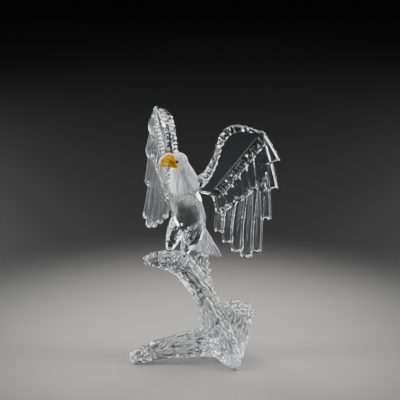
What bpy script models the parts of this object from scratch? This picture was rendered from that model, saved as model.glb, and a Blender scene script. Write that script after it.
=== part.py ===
"""A crystal eagle with raised wings, standing on a driftwood branch of crystal.

The pieces are the pressed branch with its three pads, the ground body with its legs, the satin
head with a yellow beak and two black eyes, two clear wings and a satin tail.
Shapes are set out in millimetres for a figure 165 mm tall, and placed() turns them to metres.
+X is to the right of someone who faces the figure, +Y is away from them, and +Z is up.
"""

import math
from itertools import pairwise

import bmesh
import bpy
import numpy as np
from mathutils import Matrix, Vector, noise

# The whole figure. Its free forms are shares of this height.
FIGURE_HEIGHT = 0.165
SET_OUT_HEIGHT_MM = 165.0
SCALE = FIGURE_HEIGHT / (SET_OUT_HEIGHT_MM * 0.001)


def own_size(metres):
    """A size that keeps its own value when the figure's height changes, in set-out millimetres."""
    return metres * 1000.0 / SCALE


# Sizes that are set by themselves, in metres.
GLUE_GAP = own_size(0.0003)
PAD_RADIUS = own_size(0.0024)
PAD_HEIGHT = own_size(0.0012)
EYE_RADIUS = own_size(0.0012)
WEB_THICKNESS = own_size(0.0020)
FEATHER_THICKNESS = own_size(0.0022)
TAIL_THICKNESS = own_size(0.0017)

# How the bird stands.
HEADING_DEG = 38.0
BODY_LEAN_DEG = 20.0
HEAD_TURN_DEG = 60.0
WING_SWEEP_DEG = 23.0

UP = Vector((0.0, 0.0, 1.0))


def heading(degrees):
    """The level direction that is this far round to the viewer's left."""
    return Vector((-math.sin(math.radians(degrees)), -math.cos(math.radians(degrees)), 0.0))


FORWARD = heading(HEADING_DEG)
BIRD_LEFT = UP.cross(FORWARD)
LEAN = math.radians(BODY_LEAN_DEG)
SPINE = FORWARD * math.sin(LEAN) + UP * math.cos(LEAN)
BREAST = FORWARD * math.cos(LEAN) - UP * math.sin(LEAN)

# The middle of the box round the figure, on the ground. It becomes the origin.
FOOT_MIDDLE = Vector((7.58, 13.19, 0.0))

# The branch, as stations of x, y, z and radius along each limb.
LIMBS = {
    "trunk": [
        (25.0, 1.0, 7.0, 12.0), (19.6, 0.0, 16.5, 12.0), (14.6, 0.0, 27.2, 9.6),
        (11.3, 0.0, 38.1, 7.6), (6.5, 0.0, 48.6, 7.2), (0.8, -0.5, 57.4, 7.6),
        (-5.6, -1.0, 65.6, 7.7), (-13.6, -1.5, 69.2, 6.9), (-20.5, -2.0, 69.9, 5.3),
        (-26.3, -2.5, 70.2, 4.2), (-30.4, -3.0, 69.3, 2.6),
    ],
    "snag": [
        (9.2, 1.0, 47.4, 5.0), (7.6, 2.0, 56.6, 4.6), (6.6, 2.5, 64.4, 4.3), (6.9, 3.0, 69.6, 4.3),
    ],
    "thorn": [(10.6, -0.2, 50.0, 2.4), (13.6, -0.8, 52.6, 0.8)],
    "knot": [(-22.6, -3.2, 72.4, 2.6), (-23.6, -4.2, 74.6, 1.5)],
    "left_root": [
        (20.0, 0.0, 11.0, 10.8), (8.8, -2.0, 11.8, 9.7), (-1.0, -4.0, 11.0, 8.6),
        (-11.6, -6.0, 10.1, 7.6), (-22.8, -8.0, 8.2, 6.5), (-32.4, -9.5, 5.6, 5.1),
        (-39.0, -10.5, 3.9, 3.4),
    ],
    "front_root": [
        (18.5, -3.0, 13.1, 10.0), (22.4, -10.0, 9.9, 8.6), (26.3, -17.0, 6.8, 6.4), (29.0, -21.8, 4.9, 4.0),
    ],
    "right_root": [(26.3, 2.0, 10.8, 9.0), (30.0, -3.0, 5.6, 5.4), (32.0, -6.0, 3.2, 3.4)],
    "back_root": [
        (20.0, 3.0, 13.0, 10.0), (16.5, 11.0, 9.4, 7.8), (13.4, 18.0, 6.0, 5.6), (11.6, 23.4, 4.2, 3.6),
    ],
}
STUMP = [
    (23.7, 2.0, 4.7, 11.4), (27.4, 3.0, 17.3, 10.9), (31.0, 3.2, 30.3, 10.1), (33.1, 3.4, 38.0, 9.8),
]
STUMP_TOP = (33.0, 3.4, 34.0)
STUMP_TOP_NORMAL = (0.30, -0.10, 0.95)
PAD_PLACES = {"pad_left": (-37.0, -10.6), "pad_front": (28.2, -20.8), "pad_back": (12.0, 22.2)}

# The body, as half-lengths of an egg about its middle.
BODY_MIDDLE = Vector((-2.7, -0.1, 104.0))
BODY_HALF_WIDTH = 11.2
BODY_HALF_DEPTH = 10.4
BODY_RISE = 24.0
BODY_DROP = 26.0
FACETS_ROUND = 12
FACET_ROW_DEG = 11.25
NECK_JOINT_UP = 17.5

LEGS = {
    "right": [
        (-6.0, 3.0, 97.0, 6.4), (-9.4, 1.2, 91.0, 5.9), (-11.7, 0.6, 85.4, 5.0),
        (-13.8, -0.4, 79.6, 3.2), (-14.6, -1.0, 75.8, 2.3),
    ],
    "left": [
        (3.0, -2.0, 96.0, 6.6), (0.2, -4.6, 88.6, 6.2), (-2.4, -5.4, 82.4, 4.7),
        (-4.4, -5.4, 77.4, 3.0), (-5.2, -5.2, 73.6, 2.3),
    ],
}
TOE_RADIUS = 1.25
TOE_ROOT_RISE = 0.6
TOE_SPREAD_MM = 2.6

# The head, set out from the skull's middle.
SKULL = Vector((-8.6, -6.2, 138.8))
GAZE = heading(HEAD_TURN_DEG)
HEAD_LEFT = UP.cross(GAZE)
SKULL_HALF = (6.4, 5.2, 5.6)
NECK = [
    (-8.4, -6.0, 139.0, 5.2), (-7.2, -5.6, 134.2, 6.4), (-5.9, -5.0, 129.4, 7.9),
    (-5.2, -4.5, 125.6, 8.9), (-4.8, -4.0, 122.4, 9.7),
]
COLLAR_POINTS = 16
COLLAR_POINT_DEPTH = 4.2
COLLAR_FRONT_DROP = 1.6
FACE_JOINT_AHEAD = 3.6
FACE_JOINT_TILT_DEG = 18.0
SEAT_REACH, SEAT_HEIGHT, CHIN_DROP = 24.0, 15.0, 4.9
EYE_PLACE = (3.2, 4.45, 1.3)

WING_MIDDLE = Vector((-0.65, 1.7, 125.2))
SHOULDER_HALF_SPAN = 7.6
RIGHT_WING_ROLL_DEG = 8.0
RIGHT_WING_DROP = 2.6
RIGHT_ARM_SHARE = 1.35

# The wing, flat, as U outwards from the shoulder and W upwards. The arm's stations are U, W, half
# its width and how far it stands forward.
ARM = [
    (-5.0, -3.2, 4.4, 4.4), (0.5, -0.6, 4.2, 4.6), (4.6, 3.6, 3.0, 5.0), (8.4, 10.6, 2.4, 5.6),
    (11.2, 18.0, 2.1, 5.8), (13.6, 25.6, 2.0, 5.6), (16.4, 31.2, 2.4, 5.2), (20.0, 34.9, 2.7, 4.6),
    (25.0, 36.6, 2.4, 3.8), (31.0, 36.5, 1.8, 2.8), (37.0, 34.9, 1.3, 1.8), (41.6, 33.9, 0.8, 1.0),
]
SHIELD = [
    (-4.0, -6.6), (3.0, -8.6), (6.6, -8.8), (9.4, -10.6), (41.4, 30.0), (41.8, 34.0), (31.0, 37.0),
    (24.5, 37.6), (18.0, 34.6), (14.4, 29.0), (11.0, 18.6), (7.4, 9.6), (2.0, 2.6), (-4.0, 0.6),
]
COVERT_WEB = [
    (9.4, -10.6), (11.2, -17.4), (14.0, -18.6), (24.0, -10.4), (35.0, -1.6), (41.6, 1.0),
    (43.6, 9.0), (43.2, 22.0), (41.4, 31.0), (39.0, 31.0),
]
BAND_START, BAND_END = (12.2, -7.6), (40.2, 29.4)
BAND_HALF_WIDTH = 2.6
BAND_RAIL_RADIUS = 0.85
BAND_RUNGS = 13
# Each feather: its middle line in U and W, its root width and its tip width.
COVERTS = [
    ([(12.6, -10.0), (13.2, -15.0), (13.4, -20.4)], 4.2, 3.4),
    ([(15.6, -9.4), (17.2, -13.6), (17.8, -18.2)], 4.6, 4.4),
    ([(19.4, -4.0), (21.8, -9.4), (22.6, -14.6)], 4.8, 4.6),
    ([(23.8, 2.0), (26.4, -5.0), (27.2, -11.0)], 5.0, 4.6),
    ([(28.6, 8.0), (31.0, 0.0), (31.8, -7.0)], 5.2, 4.8),
    ([(33.4, 14.6), (35.6, 5.0), (36.3, -3.0)], 5.4, 4.8),
    ([(38.2, 21.0), (39.6, 10.0), (40.2, -0.4)], 5.6, 4.6),
]
SECONDARIES = [
    ([(15.6, -11.0), (13.9, -20.0), (13.1, -27.0), (14.2, -33.4)], 4.6, 4.6),
    ([(21.6, -9.0), (20.2, -18.0), (19.0, -30.0), (19.6, -40.0)], 5.6, 5.6),
    ([(28.2, -3.0), (26.9, -16.0), (25.5, -32.0), (26.2, -45.2)], 6.6, 6.8),
    ([(34.4, 2.0), (33.2, -16.0), (32.2, -34.0), (32.6, -48.2)], 6.8, 7.0),
    ([(39.4, 5.0), (38.9, -16.0), (38.6, -32.0), (38.9, -44.4)], 6.4, 6.0),
]
PRIMARIES = [
    ([(41.4, 12.0), (43.4, -5.0), (44.4, -22.0)], 5.4, 5.6),
    ([(41.2, 27.0), (44.4, 14.0), (48.1, -2.0)], 5.0, 6.6),
    ([(38.6, 35.0), (43.0, 27.6), (48.8, 15.6)], 3.6, 7.0),
]
TIP_CURL_MM = 5.0
TOP_CURL_MM = 1.5
OUTER_SET_BACK_MM = 3.0
WING_REACH_DOWN, WING_REACH_UP, WING_REACH_OUT = 49.0, 39.0, 52.0

TAIL_ROOT = Vector((5.4, 8.2, 91.5))
TAIL_TIP = Vector((11.2, 13.2, 67.4))
TAIL_FEATHERS = 7
TAIL_FAN_DEG = 28.0
TAIL_APEX_SHARE = 0.16
TAIL_ARCH_MM = 1.8


def clear_scene():
    """Removes whatever the file opened with."""
    for obj in list(bpy.data.objects):
        bpy.data.objects.remove(obj)


def finish_of(name, colour, roughness, transmission):
    """A Principled material of plain values."""
    material = bpy.data.materials.new(name)
    material.use_nodes = True
    shader = material.node_tree.nodes["Principled BSDF"]
    shader.inputs["Base Color"].default_value = (*colour, 1.0)
    shader.inputs["Metallic"].default_value = 0.0
    shader.inputs["Roughness"].default_value = roughness
    shader.inputs["IOR"].default_value = 1.54
    shader.inputs["Transmission Weight"].default_value = transmission
    return material


def rough_object(bm, name):
    """A working object, still in set-out millimetres, that takes the bmesh over."""
    bmesh.ops.recalc_face_normals(bm, faces=bm.faces)
    mesh = bpy.data.meshes.new(name)
    bm.to_mesh(mesh)
    bm.free()
    obj = bpy.data.objects.new(name, mesh)
    bpy.context.scene.collection.objects.link(obj)
    return obj


def baked(obj):
    """Gives the object the mesh that its modifiers make, and drops them."""
    graph = bpy.context.evaluated_depsgraph_get()
    graph.update()
    mesh = bpy.data.meshes.new_from_object(obj.evaluated_get(graph))
    obj.modifiers.clear()
    obj.data = mesh
    return obj


def combined(obj, others, operation):
    """Joins the other objects to obj or cuts them from it, and removes them."""
    for other in others:
        modifier = obj.modifiers.new(operation.title(), "BOOLEAN")
        modifier.operation = operation
        modifier.use_self = operation == "UNION"
        modifier.object = other
    baked(obj)
    for other in others:
        bpy.data.objects.remove(other)
    return without_crumbs(obj)


def without_crumbs(obj):
    """Keeps the largest connected skin, so that no chip or closed-in bubble is left by a join."""
    bm = bmesh.new()
    bm.from_mesh(obj.data)
    waiting = set(bm.verts)
    skins = []
    while waiting:
        edge_of_skin = [waiting.pop()]
        skin = set(edge_of_skin)
        while edge_of_skin:
            vert = edge_of_skin.pop()
            reached = {edge.other_vert(vert) for edge in vert.link_edges} - skin
            skin |= reached
            edge_of_skin.extend(reached)
        waiting -= skin
        skins.append(skin)
    largest = max(skins, key=len)
    bmesh.ops.delete(bm, geom=[vert for vert in bm.verts if vert not in largest], context="VERTS")
    bm.to_mesh(obj.data)
    bm.free()
    return obj


def ground_off(obj, place, normal):
    """Grinds the object flat: whatever lies beyond the plane goes."""
    bm = bmesh.new()
    bm.from_mesh(obj.data)
    cut = bmesh.ops.bisect_plane(
        bm, geom=bm.verts[:] + bm.edges[:] + bm.faces[:], plane_co=place, plane_no=normal,
        clear_outer=True, dist=1e-5,
    )
    rim = [item for item in cut["geom_cut"] if isinstance(item, bmesh.types.BMEdge)]
    if rim:
        bmesh.ops.edgeloop_fill(bm, edges=rim)
    bmesh.ops.recalc_face_normals(bm, faces=bm.faces)
    bm.to_mesh(obj.data)
    bm.free()
    return obj


def placed(obj, name, material, smooth_deg):
    """Turns a working object into a finished piece in metres."""
    obj.data.transform(Matrix.Scale(SCALE * 0.001, 4) @ Matrix.Translation(-FOOT_MIDDLE))
    obj.name = obj.data.name = name
    obj.data.materials.clear()
    obj.data.materials.append(material)
    if smooth_deg:
        obj.data.shade_smooth()
        obj.data.set_sharp_from_angle(angle=math.radians(smooth_deg))
    return obj


def smooth_stations(points, between):
    """Points of any number of values, with a smooth curve's points put in between them."""
    stations = []
    ends = [points[0], *points, points[-1]]
    for a, b, c, d in zip(ends, ends[1:], ends[2:], ends[3:]):
        for step in range(between):
            t = step / between
            stations.append(tuple(
                0.5 * (2 * q + (r - p) * t + (2 * p - 5 * q + 4 * r - s) * t**2
                       + (3 * q - p - 3 * r + s) * t**3)
                for p, q, r, s in zip(a, b, c, d)
            ))
    return [*stations, tuple(points[-1])]


def section_frame(centre, along, across, width, depth):
    """Takes a section's x to `across` and its y square to both, at this centre and size."""
    along = along.normalized()
    across = (across - along * across.dot(along)).normalized()
    matrix = Matrix((across * width, along.cross(across) * depth, along)).transposed().to_4x4()
    matrix.translation = centre
    return matrix


def directions(centres):
    """The direction of travel at each point of a line."""
    padded = [centres[0], *centres, centres[-1]]
    return [(after - before).normalized() for before, after in zip(padded, padded[2:])]


def circle_section(sides):
    """A round section of unit radius."""
    return [(math.cos(math.tau * i / sides), math.sin(math.tau * i / sides)) for i in range(sides)]


def add_sweep(bm, section, frames):
    """A closed body: one section face extruded from frame to frame and capped."""
    start = [bm.verts.new(frames[0] @ Vector((x, y, 0.0))) for x, y in section]
    edges = list(bm.faces.new(start).edges)
    rings = [start]
    for old, new in pairwise(frames):
        grown = bmesh.ops.extrude_edge_only(bm, edges=edges)["geom"]
        ring = [item for item in grown if isinstance(item, bmesh.types.BMVert)]
        fresh = set(ring)
        edges = [
            item for item in grown
            if isinstance(item, bmesh.types.BMEdge) and all(vert in fresh for vert in item.verts)
        ]
        bmesh.ops.transform(bm, matrix=new @ old.inverted(), verts=ring)
        rings.append(ring)
    bmesh.ops.edgeloop_fill(bm, edges=edges)
    return rings


def add_limb(bm, points, sides, between=3, grow=0.0):
    """A round limb through stations of x, y, z and radius, with blunt rounded ends."""
    stations = smooth_stations(points, between)
    centres = [Vector(station[:3]) for station in stations]
    radii = [station[3] + grow for station in stations]
    ways = directions(centres)
    blunt_end = centres[0] - ways[0] * radii[0] * 0.45
    frames = [section_frame(blunt_end, ways[0], HEAD_LEFT, radii[0] * 0.6, radii[0] * 0.6)]
    for centre, way, radius in zip(centres, ways, radii):
        frames.append(section_frame(centre, way, HEAD_LEFT, radius, radius))
    end = centres[-1] + ways[-1] * radii[-1] * 0.45
    frames.append(section_frame(end, ways[-1], HEAD_LEFT, radii[-1] * 0.6, radii[-1] * 0.6))
    return add_sweep(bm, circle_section(sides), frames)


def melted(obj, voxel, rounds):
    """Flows overlapping bodies into one skin, as glass does in a mould."""
    remesh = obj.modifiers.new("Flow", "REMESH")
    remesh.mode = "VOXEL"
    remesh.voxel_size = voxel
    soften = obj.modifiers.new("Soften", "SMOOTH")
    soften.iterations = rounds
    soften.factor = 0.5
    return baked(obj)


def thinned(obj, triangles):
    """Brings the skin down to about this many triangles."""
    obj.data.calc_loop_triangles()
    modifier = obj.modifiers.new("Thin", "DECIMATE")
    modifier.ratio = min(1.0, triangles / len(obj.data.loop_triangles))
    return baked(obj)


def limb_table():
    """Close stations along every limb: the centre, radius, direction and distance of each."""
    rows = []
    for points in [*LIMBS.values(), STUMP]:
        stations = smooth_stations(points, 6)
        centres = [Vector(station[:3]) for station in stations]
        travelled = 0.0
        last = centres[0]
        for centre, way, station in zip(centres, directions(centres), stations):
            travelled += (centre - last).length
            last = centre
            rows.append((*centre, station[3], *way, travelled))
    return np.array(rows)


RIDGE_SPACING = 3.4
RIDGE_DEPTH = 0.42
RIDGE_WANDER = 9.0
RIDGE_FADE_UP = 3.0
UNDERSIDE = PAD_HEIGHT + GLUE_GAP


def carve_ridges(obj):
    """Raises the wood's long ridges, which wander along each limb and end above the underside."""
    table = limb_table()
    for vert in obj.data.vertices:
        offsets = np.array(vert.co) - table[:, :3]
        row = table[np.argmin(np.linalg.norm(offsets, axis=1) / table[:, 3])]
        along = Vector(row[4:7])
        side = along.cross(UP if abs(along.z) < 0.8 else BREAST).normalized()
        out = vert.co - Vector(row[:3])
        angle = math.atan2(out.dot(along.cross(side)), out.dot(side))
        wander = noise.noise(vert.co / RIDGE_WANDER) * 2.0
        ridges = max(3, round(math.tau * row[3] / RIDGE_SPACING))
        height = RIDGE_DEPTH * math.sin(ridges * angle + wander + row[7] * 0.12)
        fade = min(1.0, max(0.0, (vert.co.z - UNDERSIDE) / RIDGE_FADE_UP))
        vert.co += vert.normal * height * fade


def branch_solid():
    """The driftwood: trunk, fork, roots and sawn stump in one skin, ground flat underneath."""
    stump = bmesh.new()
    add_limb(stump, STUMP, 16)
    stump = ground_off(rough_object(stump, "stump"), STUMP_TOP, STUMP_TOP_NORMAL)
    bm = bmesh.new()
    bm.from_mesh(stump.data)
    bpy.data.objects.remove(stump)
    for points in LIMBS.values():
        add_limb(bm, points, 16)
    obj = melted(rough_object(bm, "branch"), 0.9, 6)
    carve_ridges(obj)
    thinned(obj, 2450)
    return ground_off(obj, (0.0, 0.0, UNDERSIDE), (0.0, 0.0, -1.0))


def pad_solid(place):
    """A clear round pad under the branch, a little domed at its rim."""
    bm = bmesh.new()
    x, y = place
    frames = [
        section_frame(Vector((x, y, height)), UP, FORWARD, radius, radius)
        for height, radius in (
            (0.0, PAD_RADIUS * 0.86), (PAD_HEIGHT * 0.3, PAD_RADIUS), (PAD_HEIGHT, PAD_RADIUS),
        )
    ]
    add_sweep(bm, circle_section(16), frames)
    return rough_object(bm, "pad")


def body_planes(grow):
    """The grinding planes of the body: rows round an egg, each row half a facet on from the last."""
    planes = []
    rows = int(180.0 / FACET_ROW_DEG)
    for row in range(1, rows):
        polar = math.radians(row * FACET_ROW_DEG)
        half = BODY_RISE if math.cos(polar) > 0 else BODY_DROP
        for facet in range(FACETS_ROUND):
            turn = math.tau * (facet + 0.5 * (row % 2)) / FACETS_ROUND
            share = Vector((
                math.sin(polar) * math.cos(turn), math.sin(polar) * math.sin(turn), math.cos(polar),
            ))
            sizes = Vector((BODY_HALF_WIDTH, BODY_HALF_DEPTH, half))
            point = BIRD_LEFT * share.x * sizes.x + BREAST * share.y * sizes.y + SPINE * share.z * sizes.z
            normal = (
                BIRD_LEFT * share.x / sizes.x + BREAST * share.y / sizes.y + SPINE * share.z / sizes.z
            ).normalized()
            planes.append((BODY_MIDDLE + point + normal * grow, normal))
    planes.append((BODY_MIDDLE + SPINE * (NECK_JOINT_UP + grow), SPINE))
    planes.append((BODY_MIDDLE - SPINE * (BODY_DROP - 1.5 + grow), -SPINE))
    return planes


def torso_solid(grow=0.0):
    """The torso, a block of crystal ground away to each plane in turn."""
    bm = bmesh.new()
    bmesh.ops.create_cube(bm, size=120.0, matrix=Matrix.Translation(BODY_MIDDLE))
    for place, normal in body_planes(grow):
        bmesh.ops.bisect_plane(
            bm, geom=bm.verts[:] + bm.edges[:] + bm.faces[:], plane_co=place, plane_no=normal,
            clear_outer=True, dist=1e-4,
        )
        bmesh.ops.remove_doubles(bm, verts=bm.verts, dist=0.01)
        bmesh.ops.delete(bm, geom=bm.edges[:], context="EDGES_FACES")
        bmesh.ops.convex_hull(bm, input=bm.verts)
        loose = [vert for vert in bm.verts if not vert.link_faces]
        bmesh.ops.delete(bm, geom=loose, context="VERTS")
    bmesh.ops.dissolve_limit(bm, angle_limit=math.radians(0.6), verts=bm.verts, edges=bm.edges)
    return rough_object(bm, "torso")


def trunk_at(x):
    """The trunk's centre, direction and radius where it passes this x, near the perch."""
    stations = smooth_stations(LIMBS["trunk"], 12)
    centres = [Vector(station[:3]) for station in stations]
    nearest = min(range(len(stations)), key=lambda i: abs(centres[i].x - x) + (centres[i].z < 50.0) * 99.0)
    return centres[nearest], directions(centres)[nearest], stations[nearest][3]


def toe_points(ankle, sideways, front):
    """One toe, from the ankle down over the branch's front or back."""
    centre, along, radius = trunk_at(ankle.x)
    outwards = along.cross(UP).cross(along).normalized()
    side = along.cross(outwards) * (1.0 if along.cross(outwards).dot(FORWARD) > 0 else -1.0) * front
    points = [(*(ankle + outwards * TOE_ROOT_RISE), TOE_RADIUS * 1.3)]
    for degrees, share in ((16.0, 1.25), (40.0, 1.15), (64.0, 0.95), (84.0, 0.5)):
        turn = math.radians(degrees)
        reach = radius + TOE_RADIUS * 0.55
        spread = sideways * TOE_SPREAD_MM * min(1.0, degrees / 50.0)
        spot = centre + (outwards * math.cos(turn) + side * math.sin(turn)) * reach
        spot += along * ((ankle - centre).dot(along) + spread)
        points.append((*spot, TOE_RADIUS * share))
    return points


def leg_solids():
    """Each feathered thigh with the four toes that grip the branch, flowed into one skin."""
    solids = []
    for points in LEGS.values():
        bm = bmesh.new()
        add_limb(bm, points, 8, between=1)
        ankle = Vector(points[-1][:3])
        for sideways, front in ((-1.0, 1.0), (0.0, 1.0), (1.0, 1.0), (0.0, -1.0)):
            add_limb(bm, toe_points(ankle, sideways, front), 6, between=2)
        solids.append(thinned(melted(rough_object(bm, "leg"), 0.45, 2), 480))
    return solids


def grown_copy(obj, grow):
    """A copy whose skin stands off by this much, to cut a neighbour with."""
    copy = bpy.data.objects.new("grown", obj.data.copy())
    bpy.context.scene.collection.objects.link(copy)
    swell = copy.modifiers.new("Swell", "DISPLACE")
    swell.mid_level = 0.0
    swell.strength = grow
    return baked(copy)


def body_solid(branch):
    """Torso, thighs and feet in one piece, with the feet cut clear of the branch."""
    obj = combined(torso_solid(), leg_solids(), "UNION")
    return combined(obj, [grown_copy(branch, GLUE_GAP * 1.6)], "DIFFERENCE")


def collar_drop(index, sides):
    """How far the collar's rim hangs at this corner: in points, and lower on the breast."""
    turn = math.tau * index / sides
    tooth = 0.5 + 0.5 * math.cos(COLLAR_POINTS * turn)
    return COLLAR_POINT_DEPTH * tooth + COLLAR_FRONT_DROP * max(0.0, -math.sin(turn))


def neck_solid(grow=0.0):
    """The neck and mantle, which widen to a pointed collar over the breast."""
    bm = bmesh.new()
    stations = smooth_stations(NECK, 2)
    centres = [Vector(station[:3]) for station in stations]
    frames = [
        section_frame(centre, -SPINE, BIRD_LEFT, station[3] + grow, station[3] + grow)
        for centre, station in zip(centres, stations)
    ]
    inside = Vector(NECK[-1][:3]) - SPINE * (8.0 + grow)
    width = NECK[-1][3] * 0.6 + grow
    frames.append(section_frame(inside, -SPINE, BIRD_LEFT, width, width))
    sides = COLLAR_POINTS * 2
    rings = add_sweep(bm, circle_section(sides), frames)
    for share, ring in ((0.35, rings[-3]), (1.0, rings[-2])):
        for index, vert in enumerate(ring):
            vert.co -= SPINE * (collar_drop(index, sides) * share + grow)
    return rough_object(bm, "neck")


def skull_solid():
    """The skull, with a brow ridge over each eye."""
    bm = bmesh.new()
    to_head = Matrix((GAZE, HEAD_LEFT, UP)).transposed().to_4x4()
    to_head.translation = SKULL
    bmesh.ops.create_icosphere(
        bm, subdivisions=3, radius=1.0, matrix=to_head @ Matrix.Diagonal((*SKULL_HALF, 1.0))
    )
    for side in (-1.0, 1.0):
        tilt = Matrix.Rotation(math.radians(14.0), 4, "Y")
        tilt @= Matrix.Rotation(math.radians(10.0 * side), 4, "Z")
        brow = Matrix.Translation((3.2, side * 3.7, 3.1)) @ tilt @ Matrix.Diagonal((3.4, 1.1, 0.9, 1.0))
        bmesh.ops.create_icosphere(bm, subdivisions=2, radius=1.0, matrix=to_head @ brow)
    return rough_object(bm, "skull")


def face_joint():
    """The flat joint between face and beak: a point on it and its forward normal."""
    tilt = math.radians(FACE_JOINT_TILT_DEG)
    return SKULL + GAZE * FACE_JOINT_AHEAD, GAZE * math.cos(tilt) - UP * math.sin(tilt)


def beak_seat():
    """The block that is cut from the front of the face, from the brow down to the chin."""
    place, normal = face_joint()
    rise = normal.cross(HEAD_LEFT)
    rise = rise if rise.z > 0 else -rise
    seat = Matrix((normal, HEAD_LEFT, rise)).transposed().to_4x4()
    seat.translation = place + normal * SEAT_REACH / 2 + rise * (SEAT_HEIGHT / 2 - CHIN_DROP)
    bm = bmesh.new()
    bmesh.ops.create_cube(
        bm, size=1.0, matrix=seat @ Matrix.Diagonal((SEAT_REACH, SEAT_REACH, SEAT_HEIGHT, 1.0))
    )
    return rough_object(bm, "beak_seat")


def eye_centre(side):
    """The middle of the eye on this side of the head, 1 for its left."""
    ahead, aside, up = EYE_PLACE
    return SKULL + GAZE * ahead + HEAD_LEFT * aside * side + UP * up


def eye_solid(side, radius):
    """A round bead, let into the face to half its depth."""
    bm = bmesh.new()
    bmesh.ops.create_icosphere(
        bm, subdivisions=2, radius=radius, matrix=Matrix.Translation(eye_centre(side))
    )
    return rough_object(bm, "eye")


def head_solid():
    """The satin head and mantle, hollowed underneath to sit over the top of the torso."""
    obj = combined(neck_solid(), [skull_solid()], "UNION")
    sockets = [eye_solid(side, EYE_RADIUS + GLUE_GAP) for side in (-1.0, 1.0)]
    return combined(obj, [beak_seat(), torso_solid(GLUE_GAP), *sockets], "DIFFERENCE")


def horn_frames(profile, wide):
    """Frames of a bill drawn from the side: ahead, up, half height, half width and nod."""
    frames = []
    for ahead, up, half_height, half_width, nod in profile:
        turn = math.radians(nod)
        way = GAZE * math.cos(turn) - UP * math.sin(turn)
        centre = SKULL + GAZE * ahead + UP * up
        frames.append(section_frame(centre, way, HEAD_LEFT, half_width * wide, half_height))
    return frames


def beak_solid():
    """The hooked yellow beak, with the gape's corner drawn back under the eye."""
    upper = [
        (1.2, 2.4, 4.0, 4.1, 0.0), (4.4, 2.7, 3.9, 3.7, 2.0), (7.2, 3.0, 3.5, 3.0, 8.0),
        (9.8, 2.5, 2.9, 2.4, 24.0), (11.6, 1.1, 2.2, 1.8, 48.0), (12.6, -0.9, 1.5, 1.2, 74.0),
        (12.7, -2.6, 0.6, 0.5, 96.0),
    ]
    lower = [
        (0.6, -2.4, 2.0, 4.4, -6.0), (3.8, -2.2, 1.8, 3.7, -8.0), (6.6, -1.7, 1.3, 2.4, -6.0),
        (8.6, -1.4, 0.7, 1.2, 0.0),
    ]
    bm = bmesh.new()
    add_sweep(bm, circle_section(10), horn_frames(upper, 1.0))
    obj = rough_object(bm, "beak")
    bm = bmesh.new()
    add_sweep(bm, circle_section(10), horn_frames(lower, 1.0))
    combined(obj, [rough_object(bm, "gape")], "UNION")
    place, normal = face_joint()
    sockets = [eye_solid(side, EYE_RADIUS + GLUE_GAP) for side in (-1.0, 1.0)]
    combined(obj, sockets, "DIFFERENCE")
    return ground_off(obj, place + normal * GLUE_GAP, -normal)


def wing_point(side, u, w, n):
    """Where a point of the flat wing goes: side 1 is the bird's left wing, and n faces forwards."""
    sweep = math.radians(WING_SWEEP_DEG)
    out = BIRD_LEFT * side * math.cos(sweep) - FORWARD * math.sin(sweep)
    face = FORWARD * math.cos(sweep) + BIRD_LEFT * side * math.sin(sweep)
    curl = TIP_CURL_MM * (min(w, 0.0) / WING_REACH_DOWN) ** 2
    curl += TOP_CURL_MM * (max(w, 0.0) / WING_REACH_UP) ** 2
    curl -= OUTER_SET_BACK_MM * (max(u, 0.0) / WING_REACH_OUT) ** 2 * max(w, 0.0) / WING_REACH_UP
    shoulder = WING_MIDDLE + BIRD_LEFT * side * SHOULDER_HALF_SPAN
    if side < 0:
        shoulder -= UP * RIGHT_WING_DROP
        roll = math.radians(RIGHT_WING_ROLL_DEG)
        u, w = u * math.cos(roll) - w * math.sin(roll), u * math.sin(roll) + w * math.cos(roll)
    return shoulder + out * u + UP * w + face * (n + curl)


def plate(outline, thickness, cell=6.0):
    """A flat plate of this outline, cut into cells so that it can follow the wing's curve."""
    bm = bmesh.new()
    verts = [bm.verts.new((u, w, -thickness / 2)) for u, w in outline]
    bm.faces.new(verts)
    lows, highs = np.min(outline, axis=0), np.max(outline, axis=0)
    for axis, normal in ((0, (1.0, 0.0, 0.0)), (1, (0.0, 1.0, 0.0))):
        for step in range(1, int((highs[axis] - lows[axis]) / cell) + 1):
            place = [0.0, 0.0, 0.0]
            place[axis] = lows[axis] + step * cell + 0.01
            bmesh.ops.bisect_plane(
                bm, geom=bm.verts[:] + bm.edges[:] + bm.faces[:], plane_co=place, plane_no=normal, dist=1e-4,
            )
    bmesh.ops.solidify(bm, geom=bm.faces[:], thickness=-thickness)
    return bm


def flat_frames(points, widths, depths):
    """Frames along a line drawn in U and W, at depth zero."""
    centres = [Vector((u, w, 0.0)) for u, w in points]
    return [
        section_frame(centre, way, way.cross(UP), width, depth)
        for centre, way, width, depth in zip(centres, directions(centres), widths, depths)
    ]


def rail(points, radii, depth_share, sides=6):
    """A bar along a line of the flat wing."""
    bm = bmesh.new()
    add_sweep(bm, circle_section(sides), flat_frames(points, radii, [r * depth_share for r in radii]))
    return bm


def feather_section():
    """A lens with thin edges and a low ridge along its middle, half a unit to each side."""
    return [
        (-0.5, -0.16), (-0.25, -0.42), (0.0, -0.5), (0.25, -0.42),
        (0.5, -0.16), (0.5, 0.16), (0.25, 0.42), (0.0, 0.5), (-0.25, 0.42), (-0.5, 0.16),
    ]


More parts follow.
